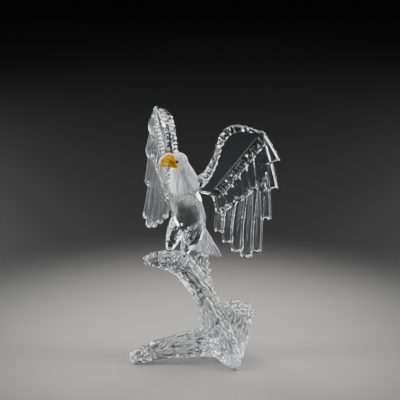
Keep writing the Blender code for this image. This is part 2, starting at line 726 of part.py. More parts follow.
def feather(points, root_width, tip_width, rounded):
    """One feather, widening to its tip, which is either rounded off or cut square."""
    stations = smooth_stations([(*point,) for point in points], 3)
    shares = [index / (len(stations) - 1) for index in range(len(stations))]
    widths = [root_width + (tip_width - root_width) * share for share in shares]
    depths = [FEATHER_THICKNESS] * len(stations)
    if rounded:
        last, before = Vector(stations[-1]), Vector(stations[-2])
        way = (last - before).normalized()
        stations[-1] = tuple(last - way * tip_width * 0.42)
        for beyond, narrower in ((0.24, 0.82), (0.42, 0.42)):
            stations.append(tuple(last - way * tip_width * (0.42 - beyond)))
            widths.append(tip_width * narrower)
            depths.append(FEATHER_THICKNESS * 0.9)
    bm = bmesh.new()
    add_sweep(bm, feather_section(), flat_frames(stations, widths, depths))
    return bm


def shifted(bm, depth, lean_deg=0.0):
    """Moves a flat-wing form in depth and tips it a little, so that each overlaps the next."""
    middle = sum((vert.co for vert in bm.verts), Vector()) / len(bm.verts)
    turn = Matrix.Translation(middle) @ Matrix.Rotation(math.radians(lean_deg), 4, "Y")
    bmesh.ops.transform(bm, matrix=turn @ Matrix.Translation(-middle), verts=bm.verts)
    bmesh.ops.translate(bm, verts=bm.verts, vec=(0.0, 0.0, depth))
    return bm


def arm_form(side):
    """The thick leading edge, which stands out from the front of the wing."""
    share = RIGHT_ARM_SHARE if side < 0 else 1.0
    stations = smooth_stations([(u, w, radius, forward * share) for u, w, radius, forward in ARM], 2)
    centres = [Vector((u, w, (forward - radius) / 2)) for u, w, radius, forward in stations]
    frames = [
        section_frame(centre, way, way.cross(UP), radius, (forward + radius) / 2)
        for centre, way, (_, _, radius, forward) in zip(centres, directions(centres), stations)
    ]
    bm = bmesh.new()
    add_sweep(bm, circle_section(8), frames)
    return bm


def wing_forms(side):
    """Every form of the flat wing: arm, shield, ribbed band, coverts and flight feathers."""
    forms = [
        arm_form(side),
        plate(SHIELD, WEB_THICKNESS),
        plate(COVERT_WEB, WEB_THICKNESS * 0.93),
    ]
    start, end = Vector(BAND_START), Vector(BAND_END)
    way = (end - start).normalized()
    across = Vector((way.y, -way.x)) * BAND_HALF_WIDTH
    for side in (-1.0, 1.0):
        steps = [start.lerp(end, share / 4) + across * side for share in range(5)]
        forms.append(rail(steps, [BAND_RAIL_RADIUS] * 5, 1.9))
    for rung in range(BAND_RUNGS):
        middle = start.lerp(end, (rung + 0.5) / BAND_RUNGS)
        forms.append(rail([middle - across, middle + across], [BAND_RAIL_RADIUS * 0.8] * 2, 1.75, 4))
    for points, root_width, tip_width in COVERTS:
        forms.append(shifted(feather(points, root_width, tip_width, True), 0.25, 4.0))
    for points, root_width, tip_width in SECONDARIES:
        forms.append(shifted(feather(points, root_width, tip_width, True), 0.0, 6.0))
    for points, root_width, tip_width in PRIMARIES:
        forms.append(shifted(feather(points, root_width, tip_width, False), 0.05, 5.0))
    return forms


def wing_solid(side):
    """One wing, flowed into a single solid and cut clear of the body and head it is glued to."""
    whole = bmesh.new()
    for form in wing_forms(side):
        mesh = bpy.data.meshes.new("wing_form")
        bmesh.ops.recalc_face_normals(form, faces=form.faces)
        for vert in form.verts:
            vert.co = wing_point(side, *vert.co)
        if side < 0:
            bmesh.ops.reverse_faces(form, faces=form.faces)
        form.to_mesh(mesh)
        form.free()
        whole.from_mesh(mesh)
    obj = bpy.data.objects.new("wing", bpy.data.meshes.new("wing"))
    whole.to_mesh(obj.data)
    whole.free()
    bpy.context.scene.collection.objects.link(obj)
    melted(obj, 0.42, 2)
    thinned(obj, 1350)
    # The collar's slanting points need a wider gap to keep clear all round.
    return combined(obj, [torso_solid(GLUE_GAP), neck_solid(GLUE_GAP * 2.0)], "DIFFERENCE")


def tail_ridge(across):
    """How high the tail's ribs stand here, from 0 in a groove to 1 on a quill."""
    phase = (across + 1.0) / 2.0 * TAIL_FEATHERS
    return 1.0 - (2.0 * (phase % 1.0) - 1.0) ** 2


def tail_section():
    """The fan's section, from -1 to 1 across: ribs on the back, shallower ones on the front."""
    steps = TAIL_FEATHERS * 3
    shares = [-1.0 + 2.0 * step / steps for step in range(steps + 1)]
    back = [(x, (0.45 + 0.55 * tail_ridge(x)) * TAIL_THICKNESS * 0.5) for x in shares]
    front = [(x, -(0.45 + 0.35 * tail_ridge(x)) * TAIL_THICKNESS * 0.5) for x in reversed(shares)]
    return front + back


def tail_point(across, depth, along):
    """Where a point of the flat fan goes: it spreads from the root and arches backwards."""
    way = TAIL_TIP - TAIL_ROOT
    back = way.cross(BIRD_LEFT).normalized()
    back = back if back.dot(FORWARD) < 0 else -back
    turn = Matrix.Rotation(math.radians(TAIL_FAN_DEG) * across, 3, back)
    apex = TAIL_ROOT - way * TAIL_APEX_SHARE
    run = turn @ way * (TAIL_APEX_SHARE + along)
    return apex + run + back * (depth - TAIL_ARCH_MM * across**2 * along)


def tail_solid():
    """The satin tail: a fan of ribs, arched across, let in under the torso."""
    bm = bmesh.new()
    frames = [
        Matrix.Translation((0.0, 0.0, along)) @ Matrix.Diagonal((1.0, thick, 1.0, 1.0))
        for along, thick in ((0.0, 1.0), (0.33, 1.0), (0.66, 1.1), (0.95, 1.0), (1.0, 0.6))
    ]
    rings = add_sweep(bm, tail_section(), frames)
    for share, ring in ((0.05, rings[-2]), (0.09, rings[-1])):
        for vert in ring:
            vert.co.z -= share * (1.0 - tail_ridge(vert.co.x))
    for vert in bm.verts:
        vert.co = tail_point(*vert.co)
    return combined(rough_object(bm, "tail"), [torso_solid(GLUE_GAP)], "DIFFERENCE")


def build():
    """Makes every piece of the figure."""
    clear_scene()
    clear = finish_of("clear_crystal", (0.96, 0.98, 1.0), 0.02, 1.0)
    satin = finish_of("satin_crystal", (0.86, 0.87, 0.89), 0.55, 0.4)
    yellow = finish_of("yellow_crystal", (0.95, 0.62, 0.03), 0.12, 0.5)
    jet = finish_of("black_glass", (0.01, 0.01, 0.012), 0.05, 0.0)
    branch = branch_solid()
    placed(body_solid(branch), "body", clear, 0.0)
    for side, name in ((1.0, "wing_left"), (-1.0, "wing_right")):
        placed(wing_solid(side), name, clear, 35.0)
    placed(tail_solid(), "tail", satin, 35.0)
    placed(head_solid(), "head", satin, 40.0)
    placed(beak_solid(), "beak", yellow, 50.0)
    for side, name in ((1.0, "eye_left"), (-1.0, "eye_right")):
        placed(eye_solid(side, EYE_RADIUS), name, jet, 60.0)
    for name, place in PAD_PLACES.items():
        placed(pad_solid(place), name, clear, 50.0)
    placed(branch, "branch", clear, 45.0)


if __name__ == "__main__":
    build()
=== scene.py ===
"""The looks of a crystal eagle with raised wings on a branch of pressed crystal driftwood.

Shapes are set out in millimetres for a figure 165 mm tall, as in the part's own source, and
finished_piece() brings each one to metres in the row frame.
"""

import logging
import math
from collections.abc import Callable, Iterable, Sequence
from dataclasses import dataclass
from enum import Enum
from itertools import pairwise

import bmesh
import bpy
import numpy as np
from mathutils import Matrix, Vector, noise


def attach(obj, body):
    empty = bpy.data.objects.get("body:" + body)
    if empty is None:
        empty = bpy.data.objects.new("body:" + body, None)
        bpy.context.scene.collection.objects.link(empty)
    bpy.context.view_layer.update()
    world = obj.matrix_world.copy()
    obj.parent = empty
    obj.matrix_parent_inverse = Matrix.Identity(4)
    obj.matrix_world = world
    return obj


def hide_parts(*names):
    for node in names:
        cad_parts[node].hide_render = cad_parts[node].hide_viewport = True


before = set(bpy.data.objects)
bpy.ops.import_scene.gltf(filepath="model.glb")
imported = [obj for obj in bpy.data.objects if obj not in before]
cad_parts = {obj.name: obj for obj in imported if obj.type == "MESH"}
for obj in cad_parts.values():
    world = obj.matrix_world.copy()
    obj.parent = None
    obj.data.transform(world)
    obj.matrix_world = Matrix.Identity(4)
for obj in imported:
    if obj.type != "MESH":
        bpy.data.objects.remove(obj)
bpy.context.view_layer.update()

LOG = logging.getLogger("eagle")
# The bark's stroke on the branch's points: the mask for the shade painted into its grooves.
PAINTED_SHADE_MASK_LAYER = "bark_stroke_painted_shade_mask"

MM = 0.001
FIGURE_HEIGHT = 0.165
SET_OUT_HEIGHT_MM = 165.0
SCALE = FIGURE_HEIGHT / (SET_OUT_HEIGHT_MM * MM)
FOOT_MIDDLE = Vector((7.58, 13.19, 0.0))
GLUE_GAP = 0.3 / SCALE

UP = Vector((0.0, 0.0, 1.0))
# The rounding of a limb's end, as shares of its radius.
BLUNT_REACH = 0.45
BLUNT_WIDTH = 0.6

HEADING_DEG = 38.0
BODY_LEAN_DEG = 20.0
HEAD_TURN_DEG = 60.0


def heading(degrees: float) -> Vector:
    """Finds a level direction.

    Args:
        degrees: How far round to the viewer's left the direction points.

    Returns:
        The unit vector.
    """
    return Vector((-math.sin(math.radians(degrees)), -math.cos(math.radians(degrees)), 0.0))


FORWARD = heading(HEADING_DEG)
BIRD_LEFT = UP.cross(FORWARD)
SPINE = FORWARD * math.sin(math.radians(BODY_LEAN_DEG)) + UP * math.cos(math.radians(BODY_LEAN_DEG))
BREAST = FORWARD * math.cos(math.radians(BODY_LEAN_DEG)) - UP * math.sin(math.radians(BODY_LEAN_DEG))
GAZE = heading(HEAD_TURN_DEG)
HEAD_LEFT = UP.cross(GAZE)


class Operation(Enum):
    """What a Boolean does with the other body."""

    JOIN = "UNION"
    CUT = "DIFFERENCE"


class Side(Enum):
    """A side of the bird, with the sign that it gives to sideways distances."""

    LEFT = 1.0
    RIGHT = -1.0


class Shading(Enum):
    """How a piece's faces meet in the light."""

    SMOOTH = "smooth"
    GROUND = "ground"


# Materials


def hex_colour(code: str) -> tuple[float, float, float, float]:
    """Turns an sRGB colour code to linear light.

    Args:
        code: A code such as "#F2A900".

    Returns:
        Linear red, green and blue, and an alpha of 1.
    """
    channels = [int(code[i:i + 2], 16) / 255.0 for i in (1, 3, 5)]
    linear = [c / 12.92 if c <= 0.04045 else ((c + 0.055) / 1.055) ** 2.4 for c in channels]
    return linear[0], linear[1], linear[2], 1.0


def add_node(
    tree: bpy.types.NodeTree,
    kind: str,
    values: dict[str, object] | None = None,
    links: dict[str, bpy.types.NodeSocket] | None = None,
    settings: dict[str, object] | None = None,
) -> bpy.types.Node:
    """Adds a node with its settings, its sockets' own values and what feeds them.

    Args:
        tree: The node tree.
        kind: The node's type name.
        values: Socket name to value.
        links: Socket name to the socket that feeds it.
        settings: Property name to value.

    Returns:
        The new node.
    """
    node = tree.nodes.new(kind)
    for name, value in (settings or {}).items():
        setattr(node, name, value)
    for name, value in (values or {}).items():
        node.inputs[name].default_value = value
    for name, socket in (links or {}).items():
        tree.links.new(socket, node.inputs[name])
    return node


class Skin:
    """A material in the making: its node tree, its shader and the Object coordinates."""

    def __init__(self, name: str) -> None:
        """Starts the material.

        Args:
            name: The material's name.
        """
        self.material = bpy.data.materials.new(name)
        self.material.use_nodes = True
        self.tree = self.material.node_tree
        self.shader = self.tree.nodes["Principled BSDF"]
        self.coordinates = add_node(self.tree, "ShaderNodeTexCoord").outputs["Object"]

    def put(self, values: dict[str, object]) -> None:
        """Sets constant values on the shader's own sockets.

        Args:
            values: Socket name to value.
        """
        for name, value in values.items():
            self.shader.inputs[name].default_value = value

    def noise(
        self, size_mm: float, detail: float = 2.0, roughness: float = 0.5, stretch: float = 1.0
    ) -> bpy.types.NodeSocket:
        """Adds a noise pattern of a real size.

        Args:
            size_mm: How wide its patches are.
            detail: How many finer layers it has.
            roughness: How strong they are.
            stretch: How many times longer than wide its patches run, upwards.

        Returns:
            The pattern, from 0 to 1.
        """
        vector = self.coordinates
        if stretch != 1.0:
            mapping = add_node(
                self.tree, "ShaderNodeMapping", {"Scale": (1.0, 1.0, 1.0 / stretch)}, {"Vector": vector}
            )
            vector = mapping.outputs["Vector"]
        values = {"Scale": 1.0 / (size_mm * MM), "Detail": detail, "Roughness": roughness}
        return add_node(self.tree, "ShaderNodeTexNoise", values, {"Vector": vector}).outputs["Fac"]

    def colour_by(self, strength: bpy.types.NodeSocket, stops: Sequence[tuple[float, str]]) -> None:
        """Colours the material from one shade to another.

        Args:
            strength: What sets the shade.
            stops: The strength and the colour code of each end.
        """
        ramp = add_node(self.tree, "ShaderNodeValToRGB", links={"Fac": strength})
        for index, (position, code) in enumerate(stops):
            ramp.color_ramp.elements[index].position = position
            ramp.color_ramp.elements[index].color = hex_colour(code)
        self.tree.links.new(ramp.outputs["Color"], self.shader.inputs["Base Color"])

    def raise_by(self, height: bpy.types.NodeSocket, depth_mm: float, strength: float = 1.0) -> None:
        """Gives the surface fine relief.

        Args:
            height: What sets the height.
            depth_mm: How deep it goes.
            strength: How much of it shows.
        """
        bump = add_node(
            self.tree, "ShaderNodeBump", {"Strength": strength, "Distance": depth_mm * MM}, {"Height": height}
        )
        self.tree.links.new(bump.outputs["Normal"], self.shader.inputs["Normal"])


@dataclass(frozen=True)
class CrystalFinish:
    """Lead crystal: clear, very shiny and strongly refracting, with a wavy skin where it was pressed, and
    painted shade in its grooves where a groove colour is given.
    """

    name: str
    tint: str = "#FBFDFF"
    ior: float = 1.545
    wave_mm: float = 0.0
    wave_depth_mm: float = 0.0
    # Painted shade in the grooves: its colour, the stroke at which it is full, and the stroke at which the
    # clear tint takes over.
    painted_groove_shade: str = ""
    painted_groove_shade_stop: float = 0.2
    clear_stop: float = 0.42

    def material(self) -> bpy.types.Material:
        """Makes the material.

        Returns:
            The new material.
        """
        skin = Skin(self.name)
        skin.put({"Base Color": hex_colour(self.tint), "Roughness": 0.0})
        skin.put({"IOR": self.ior, "Transmission Weight": 1.0})
        if self.painted_groove_shade:
            # Painted shade: the colour darkens from the clear tint on the ridges to the painted groove shade
            # where the bark's stroke is low.
            strokes = add_node(skin.tree, "ShaderNodeAttribute", settings={"attribute_name": PAINTED_SHADE_MASK_LAYER})
            stops = ((self.painted_groove_shade_stop, self.painted_groove_shade), (self.clear_stop, self.tint))
            skin.colour_by(strokes.outputs["Fac"], stops)
        if self.wave_mm:
            skin.raise_by(skin.noise(self.wave_mm, roughness=0.55), self.wave_depth_mm)
        return skin.material


@dataclass(frozen=True)
class SatinFinish:
    """Acid-etched crystal: a white, half-clear bloom over fine strokes that run down the piece."""

    name: str
    pale: str = "#FAFAFB"
    dark: str = "#AEB3BA"
    roughness: float = 0.42
    transmission: float = 0.45
    stroke_mm: float = 1.4
    stroke_depth_mm: float = 0.25
    stroke_stretch: float = 7.0

    def material(self) -> bpy.types.Material:
        """Makes the material.

        Returns:
            The new material.
        """
        skin = Skin(self.name)
        skin.put({"Roughness": self.roughness, "IOR": 1.5, "Transmission Weight": self.transmission})
        strokes = skin.noise(self.stroke_mm, roughness=0.6, stretch=self.stroke_stretch)
        skin.colour_by(strokes, ((0.35, self.dark), (0.6, self.pale)))
        skin.raise_by(strokes, self.stroke_depth_mm)
        return skin.material


@dataclass(frozen=True)
class AmberFinish:
    """Yellow crystal: deep and glossy, with orange drifting through it."""

    name: str
    yellow: str = "#FFD400"
    orange: str = "#C27400"
    drift_mm: float = 1.8
    drift_depth_mm: float = 0.35
    roughness: float = 0.12
    transmission: float = 0.35

    def material(self) -> bpy.types.Material:
        """Makes the material.

        Returns:
            The new material.
        """
        skin = Skin(self.name)
        skin.put({"Roughness": self.roughness, "IOR": 1.54, "Transmission Weight": self.transmission})
        drift = skin.noise(self.drift_mm)
        skin.colour_by(drift, ((0.38, self.orange), (0.56, self.yellow)))
        skin.raise_by(drift, self.drift_depth_mm)
        return skin.material


@dataclass(frozen=True)
class PlainFinish:
    """A material of plain values: a black glass bead, or a soft clear pad."""

    name: str
    colour: str
    roughness: float
    ior: float
    transmission: float = 0.0
    coat: float = 0.0
    grain_mm: float = 0.8
    grain_depth_mm: float = 0.02

    def material(self) -> bpy.types.Material:
        """Makes the material.

        Returns:
            The new material.
        """
        skin = Skin(self.name)
        skin.put({
            "Base Color": hex_colour(self.colour), "Roughness": self.roughness, "IOR": self.ior,
            "Transmission Weight": self.transmission, "Coat Weight": self.coat,
        })
        skin.raise_by(skin.noise(self.grain_mm, detail=1.0), self.grain_depth_mm, 0.1)
        return skin.material


@dataclass(frozen=True)
class FloorFinish:
    """A pale matt studio floor, painted with a pool of light round the figure that fades outwards into
    painted shade.
    """

    name: str
    # The colour painted in the pool of light, the near black of the painted shade beyond it, and where the
    # painted fade starts and ends.
    pale: str = "#787775"
    painted_shade: str = "#0B0B0C"
    painted_pool_radius: float = 0.02
    painted_fade_radius: float = 0.26

    def material(self) -> bpy.types.Material:
        """Makes the material.

        Returns:
            The new material.
        """
        skin = Skin(self.name)
        skin.put({"Roughness": 0.6, "Specular IOR Level": 0.2})
        # Painted light: the colour goes from pale to painted shade with the distance from the floor's middle,
        # under the figure.
        distance = add_node(
            skin.tree, "ShaderNodeVectorMath", links={"Vector": skin.coordinates},
            settings={"operation": "LENGTH"},
        )
        share = add_node(
            skin.tree, "ShaderNodeMapRange", {"From Min": self.painted_pool_radius, "From Max": self.painted_fade_radius},
            {"Value": distance.outputs["Value"]}, {"interpolation_type": "SMOOTHERSTEP"},
        )
        skin.colour_by(share.outputs["Result"], ((0.0, self.pale), (1.0, self.painted_shade)))
        return skin.material


Finish = CrystalFinish | SatinFinish | AmberFinish | PlainFinish

# Ground and polished lead crystal: it shows as dark glass with hard bright edges.
POLISHED = CrystalFinish("polished_lead_crystal")
# Crystal pressed in a mould: the skin is a little wavy, so its glints break up, and shade is painted darker
# into the grooves of the bark.
PRESSED = CrystalFinish("pressed_lead_crystal", wave_mm=2.4, wave_depth_mm=0.02, painted_groove_shade="#4A5057")
# Crystal etched in acid: a soft white bloom.
ETCHED = SatinFinish("acid_etched_crystal")
ETCHED_TAIL = SatinFinish("acid_etched_tail_crystal", transmission=0.75, roughness=0.22, stroke_mm=0.8)
# Crystal coloured in the melt, then fire-polished.
AMBER = AmberFinish("yellow_lead_crystal")
# A drawn black glass bead.
JET = PlainFinish("black_glass_bead", "#050506", 0.03, 1.52, coat=1.0)
# Clear silicone rubber, which looks a little milky.
SILICONE = PlainFinish("clear_silicone_rubber", "#DCDFE0", 0.3, 1.41, transmission=0.8)
# A pale floor with a pool of light and its shade painted into the colour.
FLOOR = FloorFinish("pale_studio_floor_painted_light_pool")


# Shapes


def rough_object(bm: bmesh.types.BMesh, name: str) -> bpy.types.Object:
    """Makes a working object, still in set-out millimetres.

    Args:
        bm: The mesh, which is freed.
        name: The object's name.

    Returns:
        The object.
    """
    face_out(bm)
    mesh = bpy.data.meshes.new(name)
    bm.to_mesh(mesh)
    bm.free()
    obj = bpy.data.objects.new(name, mesh)
    bpy.context.scene.collection.objects.link(obj)
    return obj


def baked(obj: bpy.types.Object) -> bpy.types.Object:
    """Gives an object the mesh that its modifiers make.

    Args:
        obj: The object.

    Returns:
        The same object, with no modifiers left.
    """
    graph = bpy.context.evaluated_depsgraph_get()
    graph.update()
    mesh = bpy.data.meshes.new_from_object(obj.evaluated_get(graph))
    obj.modifiers.clear()
    obj.data = mesh
    return obj


def combined(
    obj: bpy.types.Object, others: Iterable[bpy.types.Object], operation: Operation
) -> bpy.types.Object:
    """Joins other bodies to an object, or cuts them from it, and removes them.

    Args:
        obj: The body to work on.
        others: The other bodies.
        operation: Whether they are joined or cut.

    Returns:
        The same object.
    """
    others = list(others)
    for other in others:
        modifier = obj.modifiers.new(operation.name.title(), "BOOLEAN")
        modifier.operation = operation.value
        modifier.object = other
    baked(obj)
    for other in others:
        bpy.data.objects.remove(other)
    return obj


def melted(obj: bpy.types.Object, voxel: float, rounds: int) -> bpy.types.Object:
    """Flows overlapping bodies into one skin, as glass does in a mould.

    Args:
        obj: The object.
        voxel: The fineness of the new skin, in millimetres.
        rounds: How many times it is softened.

    Returns:
        The same object.
    """
    remesh = obj.modifiers.new("Flow", "REMESH")
    remesh.mode = "VOXEL"
    remesh.voxel_size = voxel
    if rounds:
        soften = obj.modifiers.new("Soften", "SMOOTH")
        soften.iterations = rounds
        soften.factor = 0.5
    return baked(obj)


def reshaped(obj: bpy.types.Object, shape: Callable[[Vector], Vector]) -> bpy.types.Object:
    """Moves every point of a mesh.

    Args:
        obj: The object.
        shape: Where each point goes.

    Returns:
        The same object.
    """
    for vert in obj.data.vertices:
        vert.co = shape(vert.co)
    return obj


def skin_normals(obj: bpy.types.Object) -> list[Vector]:
    """Copies the normals at a mesh's points, as they stand before it is reshaped."""
    return [item.vector.copy() for item in obj.data.vertex_normals]


def edited(obj: bpy.types.Object, change: Callable[[bmesh.types.BMesh], None]) -> bpy.types.Object:
    """Works on the mesh of an object.

    Args:
        obj: The object.
        change: What is done to its mesh.

    Returns:
        The same object.
    """
    bm = bmesh.new()
    bm.from_mesh(obj.data)
    change(bm)
    bm.to_mesh(obj.data)
    bm.free()
    return obj


def face_out(bm: bmesh.types.BMesh) -> None:
    """Turns every face of a closed mesh outwards."""
    bmesh.ops.recalc_face_normals(bm, faces=bm.faces)


def finished_piece(
    obj: bpy.types.Object,
    name: str,
    finish: Finish,
    node: str,
    shading: Shading = Shading.SMOOTH,
) -> bpy.types.Object:
    """Brings a working object to metres in the row frame and dresses it.

    Args:
        obj: The object.
        name: The piece's name.
        finish: The piece's finish.
        node: The CAD node that it stands for.
        shading: Whether it is smooth all over, or ground flat on its large faces.

    Returns:
        The same object.
    """
    obj.data.transform(Matrix.Scale(SCALE * MM, 4) @ Matrix.Translation(-FOOT_MIDDLE))
    obj.name = obj.data.name = name
    obj.data.materials.clear()
    obj.data.materials.append(bpy.data.materials.get(finish.name) or finish.material())
    if shading is Shading.SMOOTH:
        obj.data.shade_smooth()
    else:
        largest_smooth = (0.9 * MM) ** 2
        for face in obj.data.polygons:
            face.use_smooth = face.area < largest_smooth
    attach(obj, "root")
    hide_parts(node)
    return obj


def smooth_stations(points: Sequence[Sequence[float]], between: int) -> list[tuple[float, ...]]:
    """Puts a smooth curve's points in between others.

    Args:
        points: Points of any number of values.
        between: How many steps each span is divided into.

    Returns:
        The closer points.
    """
    stations: list[tuple[float, ...]] = []
    ends = [points[0], *points, points[-1]]
    for a, b, c, d in zip(ends, ends[1:], ends[2:], ends[3:]):
        for step in range(between):
            t = step / between
            stations.append(tuple(
                0.5 * (2 * q + (r - p) * t + (2 * p - 5 * q + 4 * r - s) * t**2
                       + (3 * q - p - 3 * r + s) * t**3)
                for p, q, r, s in zip(a, b, c, d)
            ))
    return [*stations, tuple(points[-1])]


def section_frame(centre: Vector, along: Vector, across: Vector, width: float, depth: float) -> Matrix:
    """Places a section.

    Args:
        centre: Its centre.
        along: The direction that it faces.
        across: Where its x goes, roughly.
        width: The size of its x.
        depth: The size of its y.

    Returns:
        The matrix.
    """
    along = along.normalized()
    across = (across - along * across.dot(along)).normalized()
    matrix = Matrix((across * width, along.cross(across) * depth, along)).transposed().to_4x4()
    matrix.translation = centre
    return matrix


def directions(centres: Sequence[Vector]) -> list[Vector]:
    """Finds the direction of travel at each point of a line.

    Args:
        centres: The line's points.

    Returns:
        One unit vector for each.
    """
    padded = [centres[0], *centres, centres[-1]]
    return [(after - before).normalized() for before, after in zip(padded, padded[2:])]


def circle_section(sides: int) -> list[tuple[float, float]]:
    """A round section of unit radius."""
    return [(math.cos(math.tau * i / sides), math.sin(math.tau * i / sides)) for i in range(sides)]


def add_sweep(
    bm: bmesh.types.BMesh, section: Sequence[tuple[float, float]], frames: Sequence[Matrix]
) -> list[list[bmesh.types.BMVert]]:
    """Extrudes a section from frame to frame into a closed body.

    Args:
        bm: The mesh to add to.
        section: The section's corners.
        frames: Where the section stands along the way.

    Returns:
        The corners at each frame.
    """
    start = [bm.verts.new(frames[0] @ Vector((x, y, 0.0))) for x, y in section]
    edges = list(bm.faces.new(start).edges)
    rings = [start]
    for old, new in pairwise(frames):
        grown = bmesh.ops.extrude_edge_only(bm, edges=edges)["geom"]
        ring = [item for item in grown if isinstance(item, bmesh.types.BMVert)]
        fresh = set(ring)
        edges = [
            item for item in grown
            if isinstance(item, bmesh.types.BMEdge) and all(vert in fresh for vert in item.verts)
        ]
        bmesh.ops.transform(bm, matrix=new @ old.inverted(), verts=ring)
        rings.append(ring)
    bmesh.ops.edgeloop_fill(bm, edges=edges)
    return rings


def add_limb(
    bm: bmesh.types.BMesh, points: Sequence[Sequence[float]], sides: int, between: int = 3
) -> None:
    """Adds a round limb with blunt rounded ends.

    Args:
        bm: The mesh to add to.
        points: Stations of x, y, z and radius.
        sides: The number of sides.
        between: How many steps each span is divided into.
    """
    stations = smooth_stations(points, between)
    centres = [Vector(station[:3]) for station in stations]
    radii = [station[3] for station in stations]
    ways = directions(centres)
    first = centres[0] - ways[0] * radii[0] * BLUNT_REACH
    last = centres[-1] + ways[-1] * radii[-1] * BLUNT_REACH
    centres, ways = [first, *centres, last], [ways[0], *ways, ways[-1]]
    radii = [radii[0] * BLUNT_WIDTH, *radii, radii[-1] * BLUNT_WIDTH]
    frames = [
        section_frame(centre, way, HEAD_LEFT, radius, radius)
        for centre, way, radius in zip(centres, ways, radii)
    ]
    add_sweep(bm, circle_section(sides), frames)


def cut_flat(bm: bmesh.types.BMesh, place: Sequence[float], normal: Sequence[float]) -> None:
    """Cuts a closed mesh flat and closes the cut.

    Args:
        bm: The mesh.
        place: A point on the plane.
        normal: The side that goes.
    """
    cut = bmesh.ops.bisect_plane(
        bm, geom=bm.verts[:] + bm.edges[:] + bm.faces[:], plane_co=place, plane_no=normal,
        clear_outer=True, dist=1e-5,
    )
    rim = [item for item in cut["geom_cut"] if isinstance(item, bmesh.types.BMEdge)]
    if rim:
        bmesh.ops.edgeloop_fill(bm, edges=rim)


Stations = tuple[tuple[float, ...], ...]


# The branch


